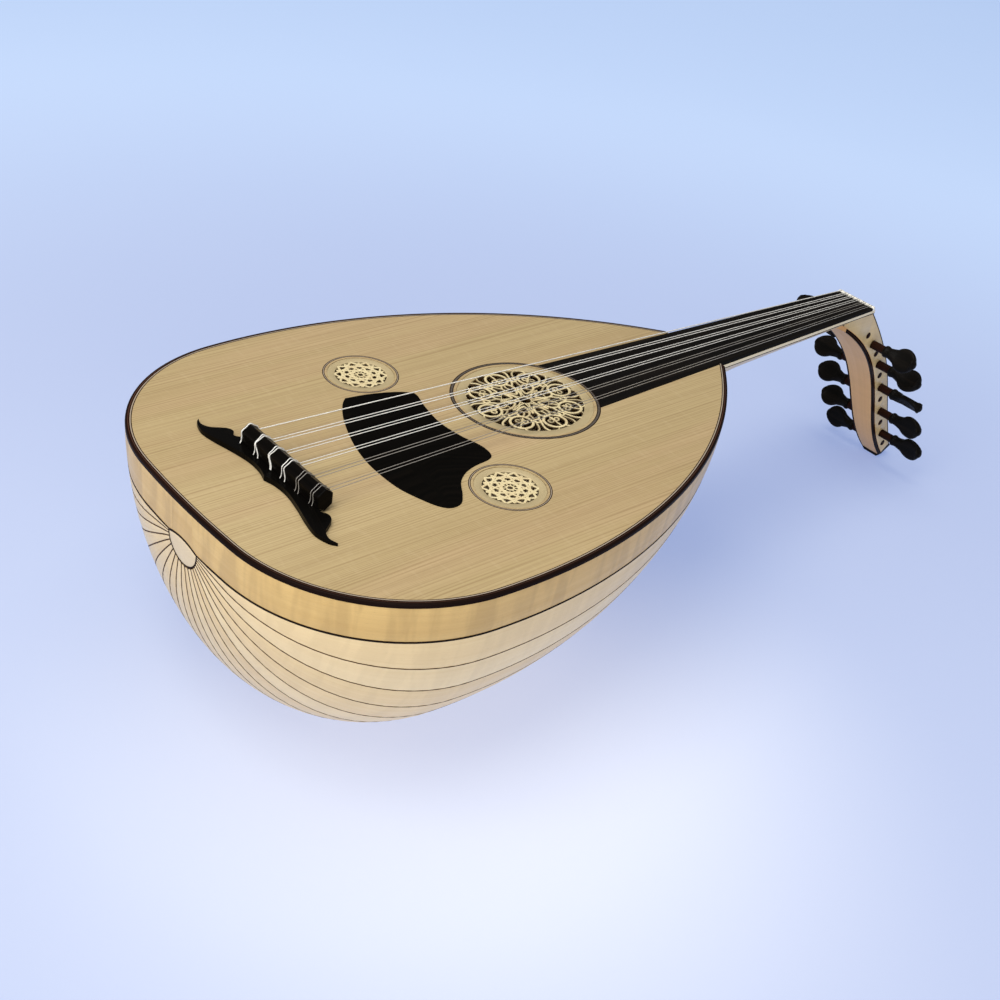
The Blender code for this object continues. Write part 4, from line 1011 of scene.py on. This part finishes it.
def ring_lines(prefix, centre, reach, lines):
    """Round inlaid lines, one inside the other, given as (name, width, look)."""
    for name, width, look in lines:
        section = inlay_section(reach, reach - width, INLAY_PROUD, RING_LINE_DEPTH)
        loft(prefix + name, turned_rings(centre, section, FACE_Z, 120), LOOKS[look], sharp=50, closed=True)
        reach -= width


def make_roses():
    make_main_rose()
    ring_lines("rosette_", MAIN_ROSE, 0.0535, (
        ("line_outer", 0.0007, "line"), ("rope", 0.0014, "rope"), ("line_inner", 0.0006, "line")))
    for side, word in ((1, "bass"), (-1, "treble")):
        centre = (SMALL_ROSE_X, side * SMALL_ROSE_Y)
        make_small_rose("rosette_visual_" + word, "rosette_" + word, centre)
        ring_lines("rosette_%s_" % word, centre, 0.0270, (
            ("line_outer", 0.0006, "line"), ("line_pale", 0.0005, "pale_line"),
            ("line_inner", 0.0005, "line")))


def make_pickguard():
    """A thin dark plate with a slightly rounded edge, its outline from the bridge base's middle."""
    corners = [(0.098, 0.058), (0.117, 0.055), (0.134, 0.0495), (0.143, 0.044), (0.145, 0.0385),
               (0.1405, 0.024), (0.1365, 0.002), (0.1385, -0.019), (0.1425, -0.0335), (0.142, -0.045),
               (0.137, -0.050), (0.123, -0.052), (0.112, -0.056), (0.103, -0.063), (0.095, -0.0745),
               (0.088, -0.082), (0.080, -0.083), (0.074, -0.078), (0.069, -0.067), (0.064, -0.050),
               (0.063, -0.031), (0.0646, -0.012), (0.0705, 0.0105), (0.081, 0.035), (0.091, 0.051),
               (0.098, 0.058)]
    curve = smooth_curve([(BRIDGE_X + x, y) for x, y in corners], 8)[:-1]
    rings = [[(x, y, FACE_Z + z) for x, y in curve] for z in (-0.0001, 0.0006)]
    piece = loft("pickguard_visual", rings, LOOKS["guard"], sharp=30)
    add_bevel(piece, 0.0002)
    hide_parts("pickguard")


# ---- bridge ----
def bridge_outline(steps):
    """Plan of the base, from its middle: the front's and the back's curves, then their mirror image."""
    front = [(0.0120, 0.0), (0.0120, 0.0150), (0.0120, 0.0300), (0.0110, 0.0400), (0.0074, 0.0445),
             (0.0044, 0.0475), (0.0040, 0.0500), (0.0060, 0.0525), (0.0066, 0.0556), (0.0050, 0.0592),
             (0.0012, 0.0624), (-0.0030, 0.0655), (-0.0054, 0.0695), (-0.0060, 0.0740), (-0.0040, 0.0795)]
    back = [(-0.0040, 0.0795), (-0.0076, 0.0752), (-0.0102, 0.0650), (-0.0085, 0.0527), (-0.0046, 0.0370),
            (-0.0018, 0.0215), (-0.0022, 0.0090), (-0.0046, 0.0)]
    half = smooth_curve(front, steps)[:-1] + smooth_curve(back, steps)
    return half + [(x, -y) for x, y in reversed(half[1:-1])]


def make_bridge():
    """Low base with moustache tips, and a six-sided tie block on it."""
    plan = bridge_outline(6)
    heights = [blend(BASE_HEIGHT, TIP_HEIGHT, clamp((abs(y) - 0.050) / 0.030)) for _, y in plan]
    rings = [[(BRIDGE_X + x, BRIDGE_MIDDLE_Y + y, FACE_Z + 0.00003 + height * share)
              for (x, y), height in zip(plan, heights)] for share in (0.0, 1.0)]
    base = loft("bridge_base", rings, LOOKS["bridge"], sharp=30)
    t, h = BLOCK_HALF_THICKNESS, BLOCK_HALF_HEIGHT
    corners = [(t, h / 2), (0.0, h), (-t, h / 2), (-t, -h / 2), (0.0, -h), (t, -h / 2)]
    rings = [[BLOCK_CENTRE + Vector((x, y, z)) for x, z in corners]
             for y in (-BLOCK_HALF_LENGTH, BLOCK_HALF_LENGTH)]
    block = loft("bridge_tie_block", rings, LOOKS["bridge"], sharp=30)
    for piece in (base, block):
        add_bevel(piece, 0.0006, 3)
    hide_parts("bridge")


# ---- neck ----
def board_half_width(x):
    amount = (x - JOINT_X) / (NUT_X - JOINT_X)
    return blend(BOARD_HALF_AT_JOINT, BOARD_HALF_AT_NUT, amount)


def make_neck():
    """Parabolic neck with a small heel; over it a dark line and a cream strip that run on under the nut."""
    top, line = -BOARD_THICKNESS - 0.00005, 0.0006
    shoulder = top - STRIP_HEIGHT - 0.0003
    start_x, end_x, strip_end_x = JOINT_X + 0.0001, BRIDGE_X + HEAD_BACK[0][0] - 0.0001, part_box("neck")[1].x
    neck, strip, dark = [], [], []
    for amount in spread(0.0, 1.0, 48):
        x = blend(start_x, end_x, amount)
        width = board_half_width(x)
        heel = HEEL_DEPTH * max(1 - amount / HEEL_SHARE, 0.0) ** 2
        depth = blend(NECK_DEPTH_AT_JOINT, NECK_DEPTH_AT_HEAD, amount) + heel + shoulder
        neck.append([(x, width * math.cos(a), FACE_Z + shoulder - depth * math.sin(a) ** 2)
                     for a in spread(0.0, math.pi, 36)])
        x = blend(start_x, strip_end_x, amount)
        width = board_half_width(x)
        for rings, half, high, low in ((dark, width + 0.00004, shoulder + line, shoulder),
                                       (strip, width, top, shoulder + line)):
            corners = ((half, high), (half, low), (-half, low), (-half, high))
            rings.append([(x, y, FACE_Z + z) for y, z in corners])
    piece = loft("neck_visual", neck, LOOKS["neck"], sharp=40)
    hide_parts("neck")
    loft("neck_dark_line", dark, LOOKS["line"], sharp=50)
    loft("neck_cream_strip", strip, LOOKS["strip"], sharp=50)


def make_nut():
    """Rounded bone strip with a shallow slot under each string."""
    half = BOARD_HALF_AT_NUT - 0.0001
    slots = [nut_y for course in range(len(COURSES)) for _, nut_y in course_offsets(course)]
    low, high = FACE_Z - BOARD_THICKNESS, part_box("nut")[1].z
    slot_depth, slot_width, rounding = 0.00045, 0.00042, 0.0008
    rings = []
    for y in spread(-half, half, 260):
        near = min(abs(y - slot) for slot in slots)
        end = min(half - abs(y), rounding) / rounding
        top = high - slot_depth * math.exp(-(near / slot_width) ** 2) - 0.0006 * (1 - end) ** 2
        section = ((0.0, low), (0.0, top - 0.0007), (0.0003, top - 0.0002), (0.0009, top),
                   (0.0018, top - 0.0001), (0.0026, top - 0.0007), (0.0030, top - 0.0014), (0.0030, low))
        rings.append([(NUT_X + x, y, z) for x, z in section])
    piece = loft("nut_visual", rings, LOOKS["nut"], sharp=50)
    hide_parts("nut")


# ---- pegbox ----
def head_point(curve, t):
    x, z = bezier(curve, t)
    return BRIDGE_X + x, FACE_Z + z


def head_half_width(x, z):
    x0, z0 = head_point(HEAD_FRONT, 0)
    x1, z1 = head_point(HEAD_FRONT, 1)
    length = math.dist((x0, z0), (x1, z1))
    along = ((x - x0) * (x1 - x0) + (z - z0) * (z1 - z0)) / length
    return blend(HEAD_HALF_WIDTH, HEAD_HALF_AT_TIP, along / length)


def peg_side(number):
    return 1 if number % 2 == 0 else -1


def edge_normal(curve, t):
    """Unit normal of an edge curve at t, towards the pegbox's front."""
    (ax, az), (bx, bz) = head_point(curve, max(t - 0.01, 0.0)), head_point(curve, min(t + 0.01, 1.0))
    run = math.dist((ax, az), (bx, bz))
    return (az - bz) / run, (bx - ax) / run


def inside_edge(curve, t, distance):
    """Point at a distance inside an edge curve; both ends stay on the pegbox's end faces."""
    x, z = head_point(curve, t)
    nx, nz = edge_normal(curve, t)
    if t == 0.0:
        nx, nz = (0.0, 1 / nz) if curve is HEAD_BACK else (1 / nx, 0.0)
    if t == 1.0:
        (fx, fz), (bx, bz) = HEAD_FRONT[-1], HEAD_BACK[-1]
        across = (fx - bx) * nx + (fz - bz) * nz
        nx, nz = (fx - bx) / across, (fz - bz) / across
    return x + nx * distance, z + nz * distance


def make_cheek(side, word):
    profile = [head_point(HEAD_FRONT, t) for t in spread(0.0, 1.0, 40)]
    profile += [inside_edge(HEAD_BACK, t, BACK_THICKNESS + 0.0001) for t in spread(1.0, 0.0, 40)]
    profile.append((BRIDGE_X + HEAD_BACK[0][0], FACE_Z + HEAD_FRONT[0][1]))
    rings = [[(x, side * (head_half_width(x, z) - inset), z) for x, z in profile]
             for inset in (CHEEK_THICKNESS, 0.0)]
    cheek = loft("pegbox_cheek_visual_%s" % word, rings, LOOKS["cheek"], sharp=30)
    tools = []
    for number, (x, _, z) in enumerate(PEGS):
        radius = (PEG_RADIUS if peg_side(number) == side else PEG_TIP_RADIUS) + 0.00015
        rings = [[(px, y, pz) for px, pz in circle_points(x, z, radius, 32)]
                 for y in (side * 0.004, side * 0.030)]
        tool = loft("peg_hole_%s_%d" % (word, number), rings, LOOKS["cheek"])
        cut(cheek, tool)
        tools.append(tool)
    add_bevel(cheek, 0.0003, 2, 50)
    bpy.context.view_layer.update()
    apply_modifiers(cheek)
    for tool in tools:
        bpy.data.objects.remove(tool)
    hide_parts("pegbox_cheek_%s" % word)
    cheek_trim(side, word)


def cheek_trim(side, word):
    """Dark edging: a double line round the back corner, a thin line along the front edge and the top."""
    lift, depth, back_width = 0.00008, 0.0004, 0.0018

    def on_cheek(x, z, height):
        return x, side * (head_half_width(x, z) + height), z

    def along_edge(curve, start, stop):
        return [[on_cheek(*inside_edge(curve, t, reach), height)
                 for reach, height in inlay_section(start, stop, lift, depth)]
                for t in spread(0.0, 1.0, HEAD_STEPS)]

    corner = []
    for t in spread(0.0, 1.0, HEAD_STEPS):
        x, z = head_point(HEAD_BACK, t)
        nx, nz = edge_normal(HEAD_BACK, t)
        out_x, out_z, in_x, in_z = x - nx * lift, z - nz * lift, x + nx * depth, z + nz * depth
        half = head_half_width(x, z)
        face = inside_edge(HEAD_BACK, t, 0.0012)
        corner.append([(out_x, side * (half - back_width), out_z), (out_x, side * (half + lift), out_z),
                       on_cheek(*face, lift), on_cheek(*face, -depth),
                       (in_x, side * (half - depth), in_z), (in_x, side * (half - back_width), in_z)])
    top_z = FACE_Z + HEAD_FRONT[0][1]
    top = [[on_cheek(x, top_z - drop, height) for drop, height in inlay_section(0.0, 0.0012, lift, depth)]
           for x in spread(BRIDGE_X + HEAD_FRONT[0][0], BRIDGE_X + HEAD_BACK[0][0], 8)]
    for name, rings, look in (("corner", corner, "edge"),
                              ("pale", along_edge(HEAD_BACK, 0.0012, 0.0016), "edge_brown_and_highlight"),
                              ("line", along_edge(HEAD_BACK, 0.0016, 0.0030), "edge"),
                              ("front", along_edge(HEAD_FRONT, 0.0, -0.0009), "edge"),
                              ("top", top, "edge")):
        loft("cheek_%s_%s" % (name, word), rings, LOOKS[look], sharp=50)


def make_pegbox_back():
    """Plate behind the cheeks, as wide as the pegbox, faintly crowned outwards."""
    crown = 0.0003
    rings = []
    for t in spread(0.0, 1.0, HEAD_STEPS):
        x, z = head_point(HEAD_BACK, t)
        ix, iz = inside_edge(HEAD_BACK, t, BACK_THICKNESS)
        nx, nz = edge_normal(HEAD_BACK, t)
        half, inner = head_half_width(x, z), head_half_width(ix, iz)
        ring = []
        for share in spread(-1.0, 1.0, 8):
            rise = crown * (1 - share * share)
            ring.append((x - nx * rise, half * share, z - nz * rise))
        rings.append(ring + [(ix, inner, iz), (ix, -inner, iz)])
    piece = loft("pegbox_back_visual", rings, LOOKS["back"], sharp=40)
    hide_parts("pegbox_back")


# ---- pegs ----
def shaft_profile(half):
    """Rings of the tapered shaft: (distance out from the cheek, half width, half thickness)."""
    tip = -2 * half - 0.0003
    rings = [(tip, PEG_TIP_RADIUS * 0.86), (tip + 0.0002, PEG_TIP_RADIUS * 0.97)]
    for share in spread(0.0, 1.0, 8):
        rings.append((blend(tip + 0.0004, SHAFT_END, share),
                      blend(PEG_TIP_RADIUS, PEG_RADIUS, min(share * 1.3, 1.0))))
    return [(along, radius, radius) for along, radius in rings]


def head_profile():
    """Rings of the collar, the waist that widens into the flat round head, and its button."""
    collar = [(SHAFT_END - 0.0001, 0.0036), (0.0131, 0.0042), (0.0137, 0.0049), (0.0148, 0.0053),
              (0.0160, 0.0051), (0.0169, 0.0047), (0.0190, 0.0047)]
    rings = [(along, radius, radius) for along, radius in collar] + [(0.0218, 0.0055, 0.0045)]
    for angle in spread(math.radians(-52), math.radians(66), 18):
        share = math.sin(angle)
        rings.append((PEG_HEAD_CENTRE + PEG_HEAD_RADIUS * share, PEG_HEAD_RADIUS * math.cos(angle),
                      blend(0.0034, 0.0050, share * share)))
    return rings + [(0.0437, 0.0036, 0.0034), (0.0441, 0.0029, 0.0027), (0.0445, 0.0030, 0.0028),
                    (0.0449, 0.0024, 0.0022), (0.0450, 0.0008, 0.0008)]


def superellipse(a, wide, thick, power):
    c, s = math.cos(a), math.sin(a)
    return (math.copysign(abs(c) ** power, c) * wide, math.copysign(abs(s) ** power, s) * thick)


def make_peg(number):
    """Turned peg with a dished round head; it stands at its own angle in the cheeks."""
    x, _, z = PEGS[number]
    half = head_half_width(x, z)
    turn = 0.0 if peg_side(number) > 0 else math.pi
    place = (Matrix.Translation((x, 0.0, z)) @ Matrix.Rotation(turn, 4, "Z")
             @ Matrix.Rotation(math.radians(PEG_TURNS[number]), 4, "Y"))
    body = "peg_%02d" % (number + 1)
    for name, look, profile in (("peg_shaft_%02d", "peg_shaft", shaft_profile(half)),
                                ("peg_head_%02d", "peg", head_profile())):
        rings = []
        for along, wide, thick in profile:
            ring = []
            for k in range(PEG_SIDES):
                a = 2 * math.pi * k / PEG_SIDES
                px, pz = superellipse(a, wide, thick, 1.0 if wide - thick < 0.0012 else 0.80)
                if wide > 0.0065:    # the head's flat sides are dished
                    pz *= 0.70 + 0.30 * (px / wide) ** 2
                ring.append(place @ Vector((px, half + along, pz)))
            rings.append(ring)
        piece = loft(name % (number + 1), rings, LOOKS[look], body=body, sharp=50, seed=number * 0.3)
    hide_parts(body)


# ---- strings ----
def course_offsets(course):
    at_bridge = FIRST_COURSE_AT_BRIDGE + course * COURSE_PITCH_AT_BRIDGE
    at_nut = FIRST_COURSE_AT_NUT + course * COURSE_PITCH_AT_NUT
    if len(COURSE_PEGS[course]) == 1:
        return [(at_bridge, at_nut)]
    return [(at_bridge + side * PAIR_AT_BRIDGE / 2, at_nut + side * PAIR_AT_NUT / 2) for side in (-1, 1)]


def front_of_peg(number, radius):
    x, _, z = PEGS[number]
    ahead, behind = neighbours(PEGS, number)
    run = math.dist((ahead[0], ahead[2]), (behind[0], behind[2]))
    reach = PEG_RADIUS + 0.0006 + radius
    return (x - (ahead[2] - behind[2]) / run * reach, z + (ahead[0] - behind[0]) / run * reach)


def string_in_box(nut_y, x, z):
    return nut_y * 0.66 * head_half_width(x, z) / HEAD_HALF_WIDTH


def string_route(bridge_y, nut_y, last_peg, radius):
    front_x = BLOCK_CENTRE.x + BLOCK_HALF_THICKNESS - 0.0005
    start = (front_x, bridge_y, FACE_Z + STRING_HEIGHT_AT_BRIDGE)
    crown = (NUT_X + 0.0010, nut_y, FACE_Z + 0.0010 + radius)
    route = [tuple(blend(a, b, k / 8) for a, b in zip(start, crown)) for k in range(9)]
    route.append((NUT_X + 0.0020, nut_y * 0.985, FACE_Z + 0.0008 + radius))
    route.append((NUT_END_X + 0.0010, nut_y * 0.90, FACE_Z - 0.0010 + radius))
    for number in range(last_peg + 1):
        x, z = front_of_peg(number, radius)
        route.append((x, string_in_box(nut_y, x, z), z))
    return route


def winding(number, y, radius, look, name):
    """The turns of a string round its peg's shaft; they ride on the peg."""
    x, _, z = PEGS[number]
    turns, steps = 3.6, 20
    reach = PEG_RADIUS + radius * 0.9
    points = []
    for k in range(int(turns * steps) + 1):
        a = 2 * math.pi * k / steps
        points.append((x + reach * math.cos(a + 0.6), y + radius * 2.15 * (k / steps - turns / 2),
                       z + reach * math.sin(a + 0.6)))
    round_bar(name, points, radius, look, body="peg_%02d" % (number + 1))


def tie_loop(name, bridge_y, back_y, tail_y, radius, look):
    """The tie: from the block's front, over its top edges, and down its back to a cut tail."""
    cx, cz = BLOCK_CENTRE.x, BLOCK_CENTRE.z
    front = BLOCK_HALF_THICKNESS + radius * 0.8
    top, shoulder = BLOCK_HALF_HEIGHT + radius, BLOCK_HALF_HEIGHT / 2 + radius * 0.5
    slope = (top + shoulder) / 2 + 0.0001
    base_z = FACE_Z + BASE_HEIGHT + radius
    route = [(cx + front, bridge_y, FACE_Z + STRING_HEIGHT_AT_BRIDGE - 0.0012)]
    for x, z, share in ((front, shoulder, 0.0), (front / 2, slope, 0.2), (0.0, top, 0.4),
                        (-front / 2, slope, 0.7), (-front, shoulder, 1.0)):
        route.append((cx + x, blend(bridge_y, back_y, share), cz + z))
    for back, across, down in ((0.0, 0.35, 0.45), (0.0003, 0.75, 0.80), (0.0012, 1.0, 1.0)):
        route.append((cx - front - back, blend(back_y, tail_y, across), blend(cz + shoulder, base_z, down)))
    round_bar(name, smooth_curve(route, 4), radius, look)


def make_strings():
    number = 0
    for course, word in enumerate(COURSES):
        radius = DIAMETERS[course] / 2
        look = LOOKS["plain"] if course < 2 else LOOKS["silver"]
        offsets = course_offsets(course)
        middle = sum(bridge_y for bridge_y, _ in offsets) / len(offsets)
        kept, tails = TIES[course]
        for index, ((bridge_y, nut_y), peg) in enumerate(zip(offsets, COURSE_PEGS[course])):
            number += 1
            route = string_route(bridge_y, nut_y, peg, radius)
            string = round_bar("string_%02d" % number, route, radius, look)
            if index == 0:
                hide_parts("course_" + word)
            tie_loop("string_tie_%02d" % number, bridge_y, blend(middle, bridge_y, kept),
                     middle + tails[index], TIE_THICKNESS[course] / 2, look)
            x, z = front_of_peg(peg, radius)
            winding(peg, string_in_box(nut_y, x, z), radius, look, "string_winding_%02d" % number)


# ---- materials on the CAD pieces that stay ----
def dress_nodes():
    for names, look in ((("soundboard",), "board"), (("fingerboard",), "board_black"),
                        (("pegbox_end_cap",), "end_cap"),
                        (("neck_block", "tail_block", "brace_1", "brace_2", "brace_3", "brace_4"), "inside")):
        for name in names:
            node = frame["nodes"][name]
            node.data.materials.clear()
            node.data.materials.append(LOOKS[look][0])
    add_bevel(frame["nodes"]["pegbox_end_cap"], 0.0006, 3, 30)


# ---- room, lights and camera ----
def make_floor():
    size = 14.0
    mesh = bpy.data.meshes.new("floor")
    corners = [(-size, -size, 0.0), (size, -size, 0.0), (size, size, 0.0), (-size, size, 0.0)]
    mesh.from_pydata(corners, [], [(0, 1, 2, 3)])
    mesh.materials.append(floor_paper("Floor paper"))
    floor = bpy.data.objects.new("floor", mesh)
    bpy.context.scene.collection.objects.link(floor)


def area_light(name, place, target, size, power, colour=(1, 1, 1)):
    data = bpy.data.lights.new(name, "AREA")
    data.shape = "DISK"
    data.size = size
    data.energy = power
    data.color = colour
    lamp = bpy.data.objects.new(name, data)
    lamp.location = place
    lamp.rotation_euler = (Vector(target) - Vector(place)).to_track_quat("-Z", "Y").to_euler()
    bpy.context.scene.collection.objects.link(lamp)


def make_lights():
    """A soft key from the tail side, a large lamp overhead, two low fills and a dim even room."""
    world = bpy.data.worlds.new("Studio")
    world.use_nodes = True
    background = world.node_tree.nodes["Background"]
    background.inputs["Color"].default_value = (0.96, 0.97, 1.0, 1.0)
    background.inputs["Strength"].default_value = 0.22
    bpy.context.scene.world = world
    area_light("key", (-1.1, -0.2, 1.8), (-0.15, -0.05, 0.1), 1.2, 20.0, (1.0, 0.98, 0.95))
    area_light("overhead", (-0.2, 0.0, 2.3), (-0.1, 0.0, 0.0), 1.8, 24.0, (1.0, 0.99, 0.98))
    area_light("low_fill", (-1.1, -1.9, 0.75), (0.0, 0.0, 0.1), 1.4, 15.5, (1.0, 0.96, 0.88))
    area_light("tail_fill", (-1.8, -0.1, 0.9), (-0.3, 0.0, 0.15), 1.0, 9.5, (1.0, 0.97, 0.92))
    bpy.context.scene.view_settings.view_transform = "Standard"


def make_camera():
    """Above the treble side of the tail, looking along the strings to the head, slightly rolled."""
    data = bpy.data.cameras.new("view")
    data.lens = 51.96
    data.sensor_width = 36.0
    data.shift_x = 0.029
    data.shift_y = -0.0042
    camera = bpy.data.objects.new("view", data)
    heading, pitch, roll = math.radians(46.64), math.radians(-32.8), math.radians(8.15)
    level_run = math.cos(pitch)
    forward = Vector((math.cos(heading) * level_run, math.sin(heading) * level_run, math.sin(pitch)))
    level = Vector((math.sin(heading), -math.cos(heading), 0.0))
    right = level * math.cos(roll) + level.cross(forward) * math.sin(roll)
    up = right.cross(forward)
    turned = Matrix((right, up, -forward)).transposed().to_4x4()
    camera.matrix_world = Matrix.Translation((BRIDGE_X - 0.4193, -0.6268, FACE_Z + 0.4866)) @ turned
    bpy.context.scene.collection.objects.link(camera)
    bpy.context.scene.camera = camera


# ---- assembly ----
make_camera()
make_lights()
make_floor()
LOOKS = make_looks()
dress_nodes()
for rib in range(RIB_COUNT):
    make_rib(rib)
for make in (make_rib_lines, make_bands, make_tail_cap, make_binding, make_roses, make_pickguard, make_bridge,
             make_neck, make_nut):
    make()
for cheek_side, cheek_word in ((1, "bass"), (-1, "treble")):
    make_cheek(cheek_side, cheek_word)
make_pegbox_back()
for peg_number in range(PEG_COUNT):
    make_peg(peg_number)
make_strings()
